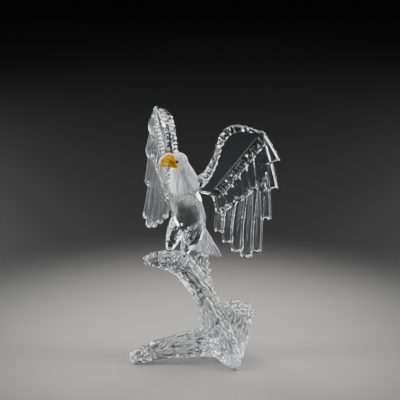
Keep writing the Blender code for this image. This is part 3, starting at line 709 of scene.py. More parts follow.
@dataclass
class Driftwood:
    """The branch of pressed crystal: trunk, fork, roots and sawn stump, grooved like old wood."""

    trunk: Stations = (
        (25.0, 1.0, 7.0, 12.0), (19.6, 0.0, 16.5, 12.0), (14.6, 0.0, 27.2, 9.6),
        (11.3, 0.0, 38.1, 7.6), (6.5, 0.0, 48.6, 7.2), (0.8, -0.5, 57.4, 7.6),
        (-5.6, -1.0, 65.6, 7.7), (-13.6, -1.5, 69.2, 6.9), (-20.5, -2.0, 69.9, 5.3),
        (-26.3, -2.5, 70.2, 4.2), (-30.4, -3.0, 69.3, 2.6),
    )
    snag: Stations = (
        (9.2, 1.0, 47.4, 5.0), (7.6, 2.0, 56.6, 4.6), (6.6, 2.5, 64.4, 4.3), (6.9, 3.0, 69.6, 4.3),
    )
    thorn: Stations = ((10.6, -0.2, 50.0, 2.4), (13.6, -0.8, 52.6, 0.8))
    knot: Stations = ((-22.6, -3.2, 72.4, 2.6), (-23.6, -4.2, 74.6, 1.5))
    left_root: Stations = (
        (20.0, 0.0, 11.0, 10.8), (8.8, -2.0, 11.8, 9.7), (-1.0, -4.0, 11.0, 8.6),
        (-11.6, -6.0, 10.1, 7.6), (-22.8, -8.0, 8.2, 6.5), (-32.4, -9.5, 5.6, 5.1),
        (-39.0, -10.5, 3.9, 3.4),
    )
    front_root: Stations = (
        (18.5, -3.0, 13.1, 10.0), (22.4, -10.0, 9.9, 8.6), (26.3, -17.0, 6.8, 6.4), (29.0, -21.8, 4.9, 4.0),
    )
    right_root: Stations = ((26.3, 2.0, 10.8, 9.0), (30.0, -3.0, 5.6, 5.4), (32.0, -6.0, 3.2, 3.4))
    back_root: Stations = (
        (20.0, 3.0, 13.0, 10.0), (16.5, 11.0, 9.4, 7.8), (13.4, 18.0, 6.0, 5.6), (11.6, 23.4, 4.2, 3.6),
    )
    stump: Stations = (
        (23.7, 2.0, 4.7, 11.4), (27.4, 3.0, 17.3, 10.9), (31.0, 3.2, 30.3, 10.1), (33.1, 3.4, 38.0, 9.8),
    )
    stump_top: tuple[float, float, float] = (33.0, 3.4, 34.0)
    stump_top_normal: tuple[float, float, float] = (0.30, -0.10, 0.95)
    underside: float = 1.5
    limb_sides: int = 32
    voxel: float = 0.42
    ridge_spacing: float = 3.4
    ridge_depth: float = 0.34
    ridge_wander: float = 9.0
    ridge_twist: float = 0.12
    stroke_width: float = 0.95
    stroke_length: float = 4.2
    stroke_depth: float = 0.5
    stroke_contrast: float = 2.4
    stroke_crest: float = 0.55
    bend_size: float = 11.0
    bend: float = 1.6
    upper_bark: float = 0.75
    calm_share: float = 0.16
    smooth_from_height: float = 34.0
    knobby_limbs: tuple[int, ...] = (1, 3)
    rim_from_height: float = 29.0
    lump_size: float = 3.4
    lump_height: float = 0.35
    knotty_lump_size: float = 2.6
    knotty_lump_height: float = 2.0

    def limbs(self) -> tuple[Stations, ...]:
        """Lists the limbs that flow together.

        Returns:
            Each limb's stations.
        """
        return (
            self.trunk, self.snag, self.thorn, self.knot, self.left_root, self.front_root,
            self.right_root, self.back_root,
        )

    def grain_rows(self) -> tuple[np.ndarray, np.ndarray]:
        """Lists close stations along every limb, to read the grain from.

        Returns:
            The rows, of centre, radius, direction and distance travelled, and each row's limb.
        """
        rows, owners = [], []
        for owner, points in enumerate((*self.limbs(), self.stump)):
            stations = smooth_stations(points, 6)
            centres = [Vector(station[:3]) for station in stations]
            travelled = 0.0
            last = centres[0]
            for centre, way, station in zip(centres, directions(centres), stations):
                travelled += (centre - last).length
                last = centre
                rows.append((*centre, station[3], *way, travelled))
                owners.append(owner)
        return np.array(rows), np.array(owners)

    def relief(self, place: Vector, row: np.ndarray, calm: float, knotty: bool) -> tuple[float, float]:
        """Works out how far the wood's skin stands out or sinks in.

        Args:
            place: The point on the skin.
            row: The nearest row of the grain.
            calm: From 0 where two limbs meet to 1 well inside one.
            knotty: Whether the limb is a knobby one.

        Returns:
            The distance in millimetres, and the bark's stroke, from -1 in a groove to its crest.
        """
        along = Vector(row[4:7])
        side = along.cross(UP if abs(along.z) < 0.8 else BREAST).normalized()
        out = place - Vector(row[:3])
        down_grain = row[7] + out.dot(along)
        out -= along * out.dot(along)
        across = along.cross(side)
        angle = math.atan2(out.dot(across), out.dot(side))
        wander = noise.noise(place / self.ridge_wander) * 2.0
        ridges = max(3, round(math.tau * row[3] / self.ridge_spacing))
        height = self.ridge_depth * math.sin(ridges * angle + wander + row[7] * self.ridge_twist)
        bend = noise.noise(place / self.bend_size) * self.bend
        grain = Vector((
            out.dot(side) / self.stroke_width + bend,
            out.dot(across) / self.stroke_width - bend,
            down_grain / self.stroke_length,
        ))
        stroke = min(self.stroke_crest, max(-1.0, noise.noise(grain) * self.stroke_contrast))
        bark = 1.0 if knotty or place.z < self.smooth_from_height else self.upper_bark
        lumps = noise.noise(place / self.lump_size) * self.lump_height
        if knotty:
            lumps = noise.noise(place / self.knotty_lump_size) * self.knotty_lump_height
        raised = height * calm * (1.5 - bark) + self.stroke_depth * stroke * bark * (0.8 + 0.2 * calm)
        return raised + lumps, stroke * bark

    def carve(self, obj: bpy.types.Object) -> None:
        """Sinks the grain into the skin and keeps its stroke as the mask for the painted shade in the
        grooves.

        Args:
            obj: The smooth branch.
        """
        rows, owners = self.grain_rows()
        points = np.array([vert.co for vert in obj.data.vertices])
        reach = np.linalg.norm(points[:, None] - rows[None, :, :3], axis=2) / rows[None, :, 3]
        nearest = reach.argmin(axis=1)
        best = reach[np.arange(len(points)), nearest]
        other = np.where(owners[None, :] == owners[nearest][:, None], np.inf, reach).min(axis=1)
        calm = np.clip((other - best) / self.calm_share, 0.0, 1.0)
        normals = skin_normals(obj)
        strokes = []
        for vert, normal, index, share in zip(obj.data.vertices, normals, nearest, calm):
            on_rim = owners[index] == len(self.limbs()) and vert.co.z > self.rim_from_height
            knotty = on_rim or owners[index] in self.knobby_limbs
            height, stroke = self.relief(vert.co, rows[index], float(share), knotty)
            vert.co += normal * height
            strokes.append(0.5 + 0.5 * stroke)
        # The stroke, kept on the points, masks the painted shade in the grooves.
        layer = obj.data.attributes.new(PAINTED_SHADE_MASK_LAYER, "FLOAT", "POINT")
        layer.data.foreach_set("value", strokes)

    def build(self) -> bpy.types.Object:
        """Builds and dresses the branch.

        Returns:
            The piece.
        """
        bm = bmesh.new()
        add_limb(bm, self.stump, self.limb_sides)
        cut_flat(bm, self.stump_top, self.stump_top_normal)
        for points in self.limbs():
            add_limb(bm, points, self.limb_sides, between=4)
        obj = melted(rough_object(bm, "branch"), self.voxel, 8)
        self.carve(obj)
        edited(obj, lambda bm: cut_flat(bm, UP * self.underside, -UP))
        return finished_piece(obj, "driftwood_branch", PRESSED, "branch")


# The body


@dataclass
class GroundBody:
    """The torso, a block of crystal ground to facets, with its feathered thighs and its feet."""

    middle: Vector = Vector((-2.7, -0.1, 104.0))
    half_width: float = 11.2
    half_depth: float = 10.4
    rise: float = 24.0
    drop: float = 26.0
    facets_round: int = 12
    facet_row_deg: float = 11.25
    arris: float = 0.2
    hand_tilt_deg: float = 7.0
    tilt_frequency: float = 3.7
    tilt_shifts: tuple[float, float, float] = (11.9, 53.3, 88.1)
    neck_joint_up: float = 17.5
    rump_cut: float = 1.5
    block_size: float = 120.0
    right_leg: Stations = (
        (-6.0, 3.0, 97.0, 6.4), (-9.4, 1.2, 91.0, 5.9), (-11.7, 0.6, 85.4, 5.0),
        (-13.8, -0.4, 79.6, 3.2), (-14.6, -1.0, 75.8, 2.3),
    )
    left_leg: Stations = (
        (3.0, -2.0, 96.0, 6.6), (0.2, -4.6, 88.6, 6.2), (-2.4, -5.4, 82.4, 4.7),
        (-4.4, -5.4, 77.4, 3.0), (-5.2, -5.2, 73.6, 2.3),
    )
    toe_radius: float = 1.25
    toe_root_rise: float = 0.6
    toe_spread: float = 2.6
    toe_bends: Stations = ((16.0, 1.25), (40.0, 1.15), (64.0, 0.95), (84.0, 0.5))
    tuft_length: float = 5.0
    tuft_width: float = 1.7
    tuft_depth: float = 0.5
    bare_foot_height: float = 2.0
    tuft_fade_height: float = 4.0
    voxel: float = 0.36

    def planes(self) -> list[tuple[Vector, Vector]]:
        """Lists the planes that the torso is ground to.

        Returns:
            A point and an outward normal for each.
        """
        planes = []
        for row in range(1, int(180.0 / self.facet_row_deg)):
            polar = math.radians(row * self.facet_row_deg)
            half = self.rise if math.cos(polar) > 0 else self.drop
            for facet in range(self.facets_round):
                turn = math.tau * (facet + 0.5 * (row % 2)) / self.facets_round
                share = Vector((
                    math.sin(polar) * math.cos(turn), math.sin(polar) * math.sin(turn), math.cos(polar),
                ))
                point = (
                    BIRD_LEFT * share.x * self.half_width + BREAST * share.y * self.half_depth
                    + SPINE * share.z * half
                )
                normal = (
                    BIRD_LEFT * share.x / self.half_width + BREAST * share.y / self.half_depth
                    + SPINE * share.z / half
                ).normalized()
                planes.append((self.middle + point, normal))
        planes.append((self.middle + SPINE * self.neck_joint_up, SPINE))
        planes.append((self.middle - SPINE * (self.drop - self.rump_cut), -SPINE))
        return planes

    def torso(self, arris: float = 0.0, tilt_deg: float = 0.0) -> bpy.types.Object:
        """Grinds the torso.

        Args:
            arris: How wide the edges between its facets are dubbed off.
            tilt_deg: How far each facet may be tipped, as when it is ground by hand.

        Returns:
            The working object.
        """
        bm = bmesh.new()
        bmesh.ops.create_cube(bm, size=self.block_size, matrix=Matrix.Translation(self.middle))
        for place, normal in self.planes():
            spots = [place * self.tilt_frequency + UP * shift for shift in self.tilt_shifts]
            tip = Vector([noise.noise(spot) for spot in spots])
            tip *= math.radians(tilt_deg) * 2.0
            normal = (normal + tip).normalized() if normal.cross(SPINE).length > 0.1 else normal
            bmesh.ops.bisect_plane(
                bm, geom=bm.verts[:] + bm.edges[:] + bm.faces[:], plane_co=place, plane_no=normal,
                clear_outer=True, dist=1e-4,
            )
            bmesh.ops.remove_doubles(bm, verts=bm.verts, dist=0.01)
            bmesh.ops.delete(bm, geom=bm.edges[:], context="EDGES_FACES")
            bmesh.ops.convex_hull(bm, input=bm.verts)
            loose = [vert for vert in bm.verts if not vert.link_faces]
            bmesh.ops.delete(bm, geom=loose, context="VERTS")
        bmesh.ops.dissolve_limit(bm, angle_limit=math.radians(0.6), verts=bm.verts, edges=bm.edges)
        if arris:
            bmesh.ops.bevel(
                bm, geom=bm.edges[:], offset=arris, offset_type="OFFSET", segments=1, profile=0.5,
                affect="EDGES", clamp_overlap=True, material=-1,
            )
            bmesh.ops.dissolve_degenerate(bm, dist=0.002, edges=bm.edges)
        return rough_object(bm, "torso")

    def perch(self, x: float) -> tuple[Vector, Vector, float]:
        """Finds the trunk where it passes under the bird.

        Args:
            x: How far to the right.

        Returns:
            The trunk's centre, direction and radius there.
        """
        stations = smooth_stations(Driftwood().trunk, 12)
        centres = [Vector(station[:3]) for station in stations]
        nearest = min(
            range(len(stations)), key=lambda i: abs(centres[i].x - x) + (centres[i].z < 50.0) * 99.0
        )
        return centres[nearest], directions(centres)[nearest], stations[nearest][3]

    def toe(self, ankle: Vector, sideways: float, front: float) -> list[tuple[float, ...]]:
        """Lays a toe over the branch.

        Args:
            ankle: Where it starts.
            sideways: -1, 0 or 1 along the branch.
            front: 1 for a front toe and -1 for the hind one.

        Returns:
            Its stations.
        """
        centre, along, radius = self.perch(ankle.x)
        outwards = along.cross(UP).cross(along).normalized()
        side = along.cross(outwards)
        side *= (1.0 if side.dot(FORWARD) > 0 else -1.0) * front
        points = [(*(ankle + outwards * self.toe_root_rise), self.toe_radius * 1.3)]
        for degrees, share in self.toe_bends:
            turn = math.radians(degrees)
            reach = radius + self.toe_radius * 0.55
            spread = sideways * self.toe_spread * min(1.0, degrees / 50.0)
            spot = centre + (outwards * math.cos(turn) + side * math.sin(turn)) * reach
            spot += along * ((ankle - centre).dot(along) + spread)
            points.append((*spot, self.toe_radius * share))
        return points

    def leg(self, stations: Stations) -> bpy.types.Object:
        """Models one leg, with rows of small feathers down the thigh.

        Args:
            stations: The thigh's stations.

        Returns:
            The working object.
        """
        bm = bmesh.new()
        add_limb(bm, stations, 20, between=4)
        ankle = Vector(stations[-1][:3])
        for sideways, front in ((-1.0, 1.0), (0.0, 1.0), (1.0, 1.0), (0.0, -1.0)):
            add_limb(bm, self.toe(ankle, sideways, front), 12, between=4)
        obj = melted(rough_object(bm, "leg"), self.voxel, 3)
        foot = ankle.z + self.bare_foot_height
        for vert, normal in zip(obj.data.vertices, skin_normals(obj)):
            fade = min(1.0, max(0.0, (vert.co.z - foot) / self.tuft_fade_height))
            place = Vector((vert.co.x, vert.co.y, 0.0)) / self.tuft_width + UP * vert.co.z / self.tuft_length
            tuft = 1.0 - 2.2 * abs(noise.noise(place))
            vert.co += normal * self.tuft_depth * fade * (tuft - 0.5)
        return obj

    def build(self) -> bpy.types.Object:
        """Builds and dresses the body.

        Returns:
            The piece.
        """
        legs = [self.leg(self.right_leg), self.leg(self.left_leg)]
        obj = combined(self.torso(self.arris, self.hand_tilt_deg), legs, Operation.JOIN)
        return finished_piece(obj, "ground_body", POLISHED, "body", Shading.GROUND)


# The head


@dataclass
class EagleHead:
    """The satin head and mantle, the yellow beak and the two eyes."""

    skull: Vector = Vector((-8.6, -6.2, 138.8))
    skull_half: tuple[float, float, float] = (6.4, 5.2, 5.6)
    neck: Stations = (
        (-8.4, -6.0, 139.0, 5.2), (-7.2, -5.6, 134.2, 6.4), (-5.9, -5.0, 129.4, 7.9),
        (-5.2, -4.5, 125.6, 8.9), (-4.8, -4.0, 122.4, 9.7),
    )
    neck_inner_reach: float = 8.0
    collar_points: int = 16
    collar_point_steps: int = 8
    collar_fade: tuple[float, ...] = (0.12, 0.35, 0.65, 1.0)
    collar_point_depth: float = 4.2
    collar_front_drop: float = 1.6
    brow_place: tuple[float, float, float] = (3.2, 3.7, 3.1)
    brow_half: tuple[float, float, float] = (3.4, 1.1, 0.9)
    brow_pitch_deg: float = 14.0
    brow_turn_deg: float = 10.0
    joint_ahead: float = 3.6
    joint_tilt_deg: float = 18.0
    seat_reach: float = 24.0
    seat_height: float = 15.0
    chin_drop: float = 4.9
    eye_place: tuple[float, float, float] = (3.2, 4.45, 1.3)
    eye_radius: float = 1.2
    flute_depth: float = 0.4
    flute_count: float = 7.0
    flute_length: float = 9.0
    upper_beak: Stations = (
        (1.2, 2.4, 4.0, 4.1, 0.0), (4.4, 2.7, 3.9, 3.7, 2.0), (7.2, 3.0, 3.5, 3.0, 8.0),
        (9.8, 2.5, 2.9, 2.4, 24.0), (11.6, 1.1, 2.2, 1.8, 48.0), (12.6, -0.9, 1.5, 1.2, 74.0),
        (12.7, -2.6, 0.6, 0.5, 96.0),
    )
    lower_beak: Stations = (
        (0.6, -2.4, 2.0, 4.4, -6.0), (3.8, -2.2, 1.8, 3.7, -8.0), (6.6, -1.7, 1.3, 2.4, -6.0),
        (8.6, -1.4, 0.7, 1.2, 0.0),
    )
    beak_sides: int = 28
    beak_voxel: float = 0.2
    voxel: float = 0.34

    def mantle(self) -> bpy.types.Object:
        """Sweeps the neck and mantle, down to a pointed collar over the breast.

        Returns:
            The working object.
        """
        stations = smooth_stations(self.neck, 5)
        centres = [Vector(station[:3]) for station in stations]
        frames = [
            section_frame(centre, -SPINE, BIRD_LEFT, station[3], station[3])
            for centre, station in zip(centres, stations)
        ]
        rim = Vector(self.neck[-1][:3])
        width = self.neck[-1][3]
        inner = rim - SPINE * self.neck_inner_reach
        frames.append(section_frame(inner, -SPINE, BIRD_LEFT, width * BLUNT_WIDTH, width * BLUNT_WIDTH))
        sides = self.collar_points * self.collar_point_steps
        bm = bmesh.new()
        rings = add_sweep(bm, circle_section(sides), frames)
        for share, ring in zip(self.collar_fade, rings[-5:-1]):
            for index, vert in enumerate(ring):
                turn = math.tau * index / sides
                tooth = abs((index / self.collar_point_steps) % 1.0 - 0.5) * 2.0
                drop = self.collar_point_depth * tooth + self.collar_front_drop * max(0.0, -math.sin(turn))
                vert.co -= SPINE * drop * share
        return rough_object(bm, "mantle")

    def skull_body(self) -> bpy.types.Object:
        """Models the skull with a brow over each eye.

        Returns:
            The working object.
        """
        to_head = Matrix((GAZE, HEAD_LEFT, UP)).transposed().to_4x4()
        to_head.translation = self.skull
        bm = bmesh.new()
        bmesh.ops.create_icosphere(
            bm, subdivisions=5, radius=1.0, matrix=to_head @ Matrix.Diagonal((*self.skull_half, 1.0))
        )
        for side in Side:
            tilt = Matrix.Rotation(math.radians(self.brow_pitch_deg), 4, "Y")
            tilt @= Matrix.Rotation(math.radians(self.brow_turn_deg * side.value), 4, "Z")
            ahead, aside, up = self.brow_place
            brow = Matrix.Translation((ahead, side.value * aside, up)) @ tilt
            bmesh.ops.create_icosphere(
                bm, subdivisions=4, radius=1.0,
                matrix=to_head @ brow @ Matrix.Diagonal((*self.brow_half, 1.0)),
            )
        return rough_object(bm, "skull")

    def joint(self) -> tuple[Vector, Vector]:
        """Finds the flat joint between face and beak: a point on it and its forward normal."""
        tilt = math.radians(self.joint_tilt_deg)
        return self.skull + GAZE * self.joint_ahead, GAZE * math.cos(tilt) - UP * math.sin(tilt)

    def beak_seat(self) -> bpy.types.Object:
        """Makes the block that is cut from the front of the face.

        Returns:
            The working object.
        """
        place, normal = self.joint()
        rise = normal.cross(HEAD_LEFT)
        rise = rise if rise.z > 0 else -rise
        seat = Matrix((normal, HEAD_LEFT, rise)).transposed().to_4x4()
        seat.translation = place + normal * self.seat_reach / 2
        seat.translation += rise * (self.seat_height / 2 - self.chin_drop)
        size = Matrix.Diagonal((self.seat_reach, self.seat_reach, self.seat_height, 1.0))
        bm = bmesh.new()
        bmesh.ops.create_cube(bm, size=1.0, matrix=seat @ size)
        return rough_object(bm, "beak_seat")

    def eye_centre(self, side: Side) -> Vector:
        """The middle of the eye on this side."""
        ahead, aside, up = self.eye_place
        return self.skull + GAZE * ahead + HEAD_LEFT * aside * side.value + UP * up

    def bead(self, side: Side, radius: float) -> bpy.types.Object:
        """Makes a ball at an eye's place.

        Args:
            side: Which eye.
            radius: Its radius.

        Returns:
            The working object.
        """
        bm = bmesh.new()
        bmesh.ops.create_icosphere(
            bm, subdivisions=4, radius=radius, matrix=Matrix.Translation(self.eye_centre(side))
        )
        return rough_object(bm, "bead")

    def build_head(self, body: GroundBody) -> bpy.types.Object:
        """Builds and dresses the head.

        Args:
            body: The body that it sits on.

        Returns:
            The piece.
        """
        obj = combined(self.mantle(), [self.skull_body()], Operation.JOIN)
        melted(obj, self.voxel, 3)
        for vert, normal in zip(obj.data.vertices, skin_normals(obj)):
            out = vert.co - self.skull
            turn = math.atan2(out.dot(BREAST), out.dot(BIRD_LEFT))
            low = min(1.0, max(0.0, (self.skull.z - 3.0 - vert.co.z) / 10.0))
            round_neck = Vector((math.cos(turn), math.sin(turn), 0.0)) * self.flute_count
            flute = noise.noise(round_neck + UP * (vert.co.z / self.flute_length))
            vert.co += normal * self.flute_depth * (0.25 + 0.75 * low) * flute
        cutters = [self.beak_seat(), body.torso(), *(self.bead(side, self.eye_radius) for side in Side)]
        combined(obj, cutters, Operation.CUT)
        return finished_piece(obj, "satin_head", ETCHED, "head")

    def build_beak(self) -> bpy.types.Object:
        """Builds and dresses the hooked beak.

        Each station gives how far ahead and up it is, its half-height and half-width, and its nod.

        Returns:
            The piece.
        """
        bm = bmesh.new()
        for profile in (self.upper_beak, self.lower_beak):
            frames = []
            for ahead, up, half_height, half_width, nod in smooth_stations(profile, 5):
                turn = math.radians(nod)
                way = GAZE * math.cos(turn) - UP * math.sin(turn)
                centre = self.skull + GAZE * ahead + UP * up
                frames.append(section_frame(centre, way, HEAD_LEFT, half_width, half_height))
            add_sweep(bm, circle_section(self.beak_sides), frames)
        obj = melted(rough_object(bm, "beak"), self.beak_voxel, 2)
        place, normal = self.joint()
        edited(obj, lambda bm: cut_flat(bm, place + normal * GLUE_GAP * 0.2, -normal))
        combined(obj, [self.bead(side, self.eye_radius) for side in Side], Operation.CUT)
        return finished_piece(obj, "yellow_beak", AMBER, "beak")

    def build_eye(self, side: Side) -> bpy.types.Object:
        """Builds and dresses one eye.

        Args:
            side: Which eye.

        Returns:
            The piece.
        """
        word = side.name.lower()
        return finished_piece(
            self.bead(side, self.eye_radius), f"glass_eye_{word}", JET, f"eye_{word}"
        )


# The wings

Feather = tuple[tuple[tuple[float, float], ...], float, float]


class Tip(Enum):
    """How a feather ends."""

    ROUND = "round"
    SQUARE = "square"


@dataclass
class CrystalWing:
    """One raised wing, drawn flat as U outwards and W upwards from the shoulder, then curved."""

    side: Side
    middle: Vector = Vector((-0.65, 1.7, 125.2))
    shoulder_half_span: float = 7.6
    sweep_deg: float = 23.0
    right_roll_deg: float = 8.0
    right_drop: float = 2.6
    tip_curl: float = 5.0
    top_curl: float = 1.5
    outer_set_back: float = 3.0
    reach_down: float = 49.0
    reach_up: float = 39.0
    reach_out: float = 52.0
    arm: Stations = (
        (-5.0, -3.2, 4.4, 4.4), (0.5, -0.6, 4.2, 4.6), (4.6, 3.6, 3.0, 5.0), (8.4, 10.6, 2.4, 5.6),
        (11.2, 18.0, 2.1, 5.8), (13.6, 25.6, 2.0, 5.6), (16.4, 31.2, 2.4, 5.2), (20.0, 34.9, 2.7, 4.6),
        (25.0, 36.6, 2.4, 3.8), (31.0, 36.5, 1.8, 2.8), (37.0, 34.9, 1.3, 1.8), (41.6, 33.9, 0.8, 1.0),
    )
    left_rib_spacing: float = 4.4
    right_rib_spacing: float = 3.0
    arm_rib_depth: float = 0.45
    arm_rib_beat: float = 2.4
    arm_rib_beat_size: float = 6.0
    right_arm_share: float = 1.35
    shield: Stations = (
        (-4.0, -6.6), (3.0, -8.6), (6.6, -8.8), (9.4, -10.6), (41.4, 30.0), (41.8, 34.0), (31.0, 37.0),
        (24.5, 37.6), (18.0, 34.6), (14.4, 29.0), (11.0, 18.6), (7.4, 9.6), (2.0, 2.6), (-4.0, 0.6),
    )
    covert_web: Stations = (
        (9.4, -10.6), (11.2, -17.4), (14.0, -18.6), (24.0, -10.4), (35.0, -1.6), (41.6, 1.0),
        (43.6, 9.0), (43.2, 22.0), (41.4, 31.0), (39.0, 31.0),
    )
    band_start: tuple[float, float] = (12.2, -7.6)
    band_end: tuple[float, float] = (40.2, 29.4)
    band_half_width: float = 2.6
    band_rail_radius: float = 0.8
    band_rungs: int = 19
    band_rung_stray: float = 0.25
    band_rung_end: float = 0.8
    band_rung_middle: float = 0.95
    band_rung_swell: float = 0.5
    scallop: Stations = (
        (0.0, -7.4), (3.4, -8.4), (6.8, -8.6), (9.6, -10.6), (10.6, -14.0), (11.6, -18.6),
        (13.6, -20.0), (15.6, -18.0), (17.8, -18.0), (20.2, -15.0), (22.6, -14.4), (24.8, -11.6),
        (27.2, -10.8), (29.4, -7.8), (31.8, -6.8), (34.0, -3.8), (36.3, -2.8), (38.4, -0.6), (40.6, 0.2),
    )
    coverts: tuple[Feather, ...] = (
        (((12.6, -10.0), (13.2, -15.0), (13.4, -20.4)), 4.2, 3.4),
        (((15.6, -9.4), (17.2, -13.6), (17.8, -18.2)), 4.6, 4.4),
        (((19.4, -4.0), (21.8, -9.4), (22.6, -14.6)), 4.8, 4.6),
        (((23.8, 2.0), (26.4, -5.0), (27.2, -11.0)), 5.0, 4.6),
        (((28.6, 8.0), (31.0, 0.0), (31.8, -7.0)), 5.2, 4.8),
        (((33.4, 14.6), (35.6, 5.0), (36.3, -3.0)), 5.4, 4.8),
        (((38.2, 21.0), (39.6, 10.0), (40.2, -0.4)), 5.6, 4.6),
    )
    secondaries: tuple[Feather, ...] = (
        (((15.6, -11.0), (13.9, -20.0), (13.1, -27.0), (14.2, -33.4)), 4.6, 4.6),
        (((21.6, -9.0), (20.2, -18.0), (19.0, -30.0), (19.6, -40.0)), 5.6, 5.6),
        (((28.2, -3.0), (26.9, -16.0), (25.5, -32.0), (26.2, -45.2)), 6.6, 6.8),
        (((34.4, 2.0), (33.2, -16.0), (32.2, -34.0), (32.6, -48.2)), 6.8, 7.0),
        (((39.4, 5.0), (38.9, -16.0), (38.6, -32.0), (38.9, -44.4)), 6.4, 6.0),
    )
    primaries: tuple[Feather, ...] = (
        (((41.4, 12.0), (43.4, -5.0), (44.4, -22.0)), 5.4, 5.6),
        (((41.2, 27.0), (44.4, 14.0), (48.1, -2.0)), 5.0, 6.6),
        (((38.6, 35.0), (43.0, 27.6), (48.8, 15.6)), 3.6, 7.0),
    )
    web_thickness: float = 2.0
    covert_web_thickness: float = 1.86
    scallop_radius: float = 0.85
    rail_depth_share: float = 1.9
    blade_thickness: float = 0.95
    rim_radius: float = 0.6
    rim_depth_share: float = 1.75
    quill_taper: float = 0.3
    tip_steps: int = 8
    tip_power: float = 0.8
    voxel: float = 0.32

    def in_place(self, flat: Vector) -> Vector:
        """Curves the flat wing and puts it on its shoulder.

        Args:
            flat: U, W and depth.

        Returns:
            The point in set-out millimetres.
        """
        u, w, depth = flat
        side = self.side.value
        sweep = math.radians(self.sweep_deg)
        out = BIRD_LEFT * side * math.cos(sweep) - FORWARD * math.sin(sweep)
        face = FORWARD * math.cos(sweep) + BIRD_LEFT * side * math.sin(sweep)
        curl = self.tip_curl * (min(w, 0.0) / self.reach_down) ** 2
        curl += self.top_curl * (max(w, 0.0) / self.reach_up) ** 2
        curl -= self.outer_set_back * (max(u, 0.0) / self.reach_out) ** 2 * max(w, 0.0) / self.reach_up
        shoulder = self.middle + BIRD_LEFT * side * self.shoulder_half_span
        if self.side is Side.RIGHT:
            shoulder = shoulder - UP * self.right_drop
            roll = math.radians(self.right_roll_deg)
            u, w = u * math.cos(roll) - w * math.sin(roll), u * math.sin(roll) + w * math.cos(roll)
        return shoulder + out * u + UP * w + face * (depth + curl)

    def add_rail(
        self, bm: bmesh.types.BMesh, points: Iterable[Sequence[float]], radii: Sequence[float],
        depth_share: float, sides: int = 8,
    ) -> None:
        """Adds a bar along a line of the flat wing.

        Args:
            bm: The mesh to add to.
            points: The line in U and W.
            radii: Its radius at each point.
            depth_share: Its depth as a share of its radius.
            sides: The number of sides.
        """
        centres = [Vector((*point[:2], 0.0)) for point in points]
        frames = [
            section_frame(centre, way, way.cross(UP), radius, radius * depth_share)
            for centre, way, radius in zip(centres, directions(centres), radii)
        ]
        add_sweep(bm, circle_section(sides), frames)

    def add_arm(self, bm: bmesh.types.BMesh) -> None:
        """Adds the thick leading edge, which stands forward and is ribbed across.

        Args:
            bm: The mesh to add to.
        """
        near = self.side is Side.LEFT
        share = 1.0 if near else self.right_arm_share
        spacing = self.left_rib_spacing if near else self.right_rib_spacing
        stations = smooth_stations([(u, w, wide, deep * share) for u, w, wide, deep in self.arm], 12)
        centres = [Vector((u, w, (forward - radius) / 2)) for u, w, radius, forward in stations]
        travelled, last, frames = 0.0, centres[0], []
        for centre, way, (_, _, radius, forward) in zip(centres, directions(centres), stations):
            travelled += (centre - last).length
            last = centre
            beat = noise.noise(Vector((travelled / self.arm_rib_beat_size, 0.0, 3.0))) * self.arm_rib_beat
            rib = self.arm_rib_depth * math.sin(math.tau * travelled / spacing + beat)
            rib *= min(1.0, radius / 2.0) * (1.0 + noise.noise(centre / 3.0))
            half_depth = (forward + radius) / 2 + rib
            frames.append(section_frame(centre, way, way.cross(UP), radius + rib * 0.5, half_depth))
        add_sweep(bm, circle_section(8), frames)

    def add_plate(self, bm: bmesh.types.BMesh, outline: Stations, thickness: float) -> None:
        """Adds a flat plate.

        Args:
            bm: The mesh to add to.
            outline: Its outline in U and W.
            thickness: Its thickness.
        """
        face = bm.faces.new([bm.verts.new((u, w, -thickness / 2)) for u, w in outline])
        grown = bmesh.ops.extrude_face_region(bm, geom=[face], use_keep_orig=True)["geom"]
        top = [item for item in grown if isinstance(item, bmesh.types.BMVert)]
        bmesh.ops.translate(bm, verts=top, vec=(0.0, 0.0, thickness))

    def add_feather(
        self, bm: bmesh.types.BMesh, feather: Feather, tip: Tip, depth: float, lean_deg: float
    ) -> None:
        """Adds one feather: a thin blade with a raised rim all round and a raised quill.

        Args:
            bm: The mesh to add to.
            feather: Its middle line, root width and tip width.
            tip: How it ends.
            depth: How far forwards it lies.
            lean_deg: How far it is tipped, so that it overlaps the next.
        """
        points, root_width, tip_width = feather
        quill = [Vector(station) for station in smooth_stations(points, 6)]
        ways = [way.to_2d() for way in directions([spot.to_3d() for spot in quill])]
        shares = [index / (len(quill) - 1) for index in range(len(quill))]
        halves = [(root_width + (tip_width - root_width) * share) / 2 for share in shares]
        edges = [
            [spot + Vector((way.y, -way.x)) * half * sign for spot, way, half in zip(quill, ways, halves)]
            for sign in (-1.0, 1.0)
        ]
        last, way, half = quill[-1], ways[-1], halves[-1]
        aside = Vector((way.y, -way.x)) * half
        end: list[Vector] = []
        if tip is Tip.ROUND:
            bow = last - way * half
            edges = [[spot for spot in edge if (spot - bow).dot(way) < -0.1] for edge in edges]
            for step in range(self.tip_steps + 1):
                turn = math.pi * step / self.tip_steps
                end.append(bow - aside * math.cos(turn) + way * half * math.sin(turn) ** self.tip_power)
        outline = [*edges[0], *end, *reversed(edges[1])]
        start = set(bm.verts)
        self.add_plate(bm, tuple((spot.x, spot.y) for spot in outline), self.blade_thickness)
        rim = [*outline, outline[0]] if tip is Tip.SQUARE else outline
        self.add_rail(bm, rim, [self.rim_radius] * len(rim), self.rim_depth_share, 6)
        taper = [self.rim_radius * (1.0 - self.quill_taper * share) for share in shares]
        self.add_rail(bm, quill[:-1], taper[:-1], self.rim_depth_share, 6)
        new = [vert for vert in bm.verts if vert not in start]
        middle = sum((vert.co for vert in new), Vector()) / len(new)
        turn = Matrix.Translation(middle) @ Matrix.Rotation(math.radians(lean_deg), 4, "Y")
        bmesh.ops.transform(bm, matrix=turn @ Matrix.Translation(-middle), verts=new)
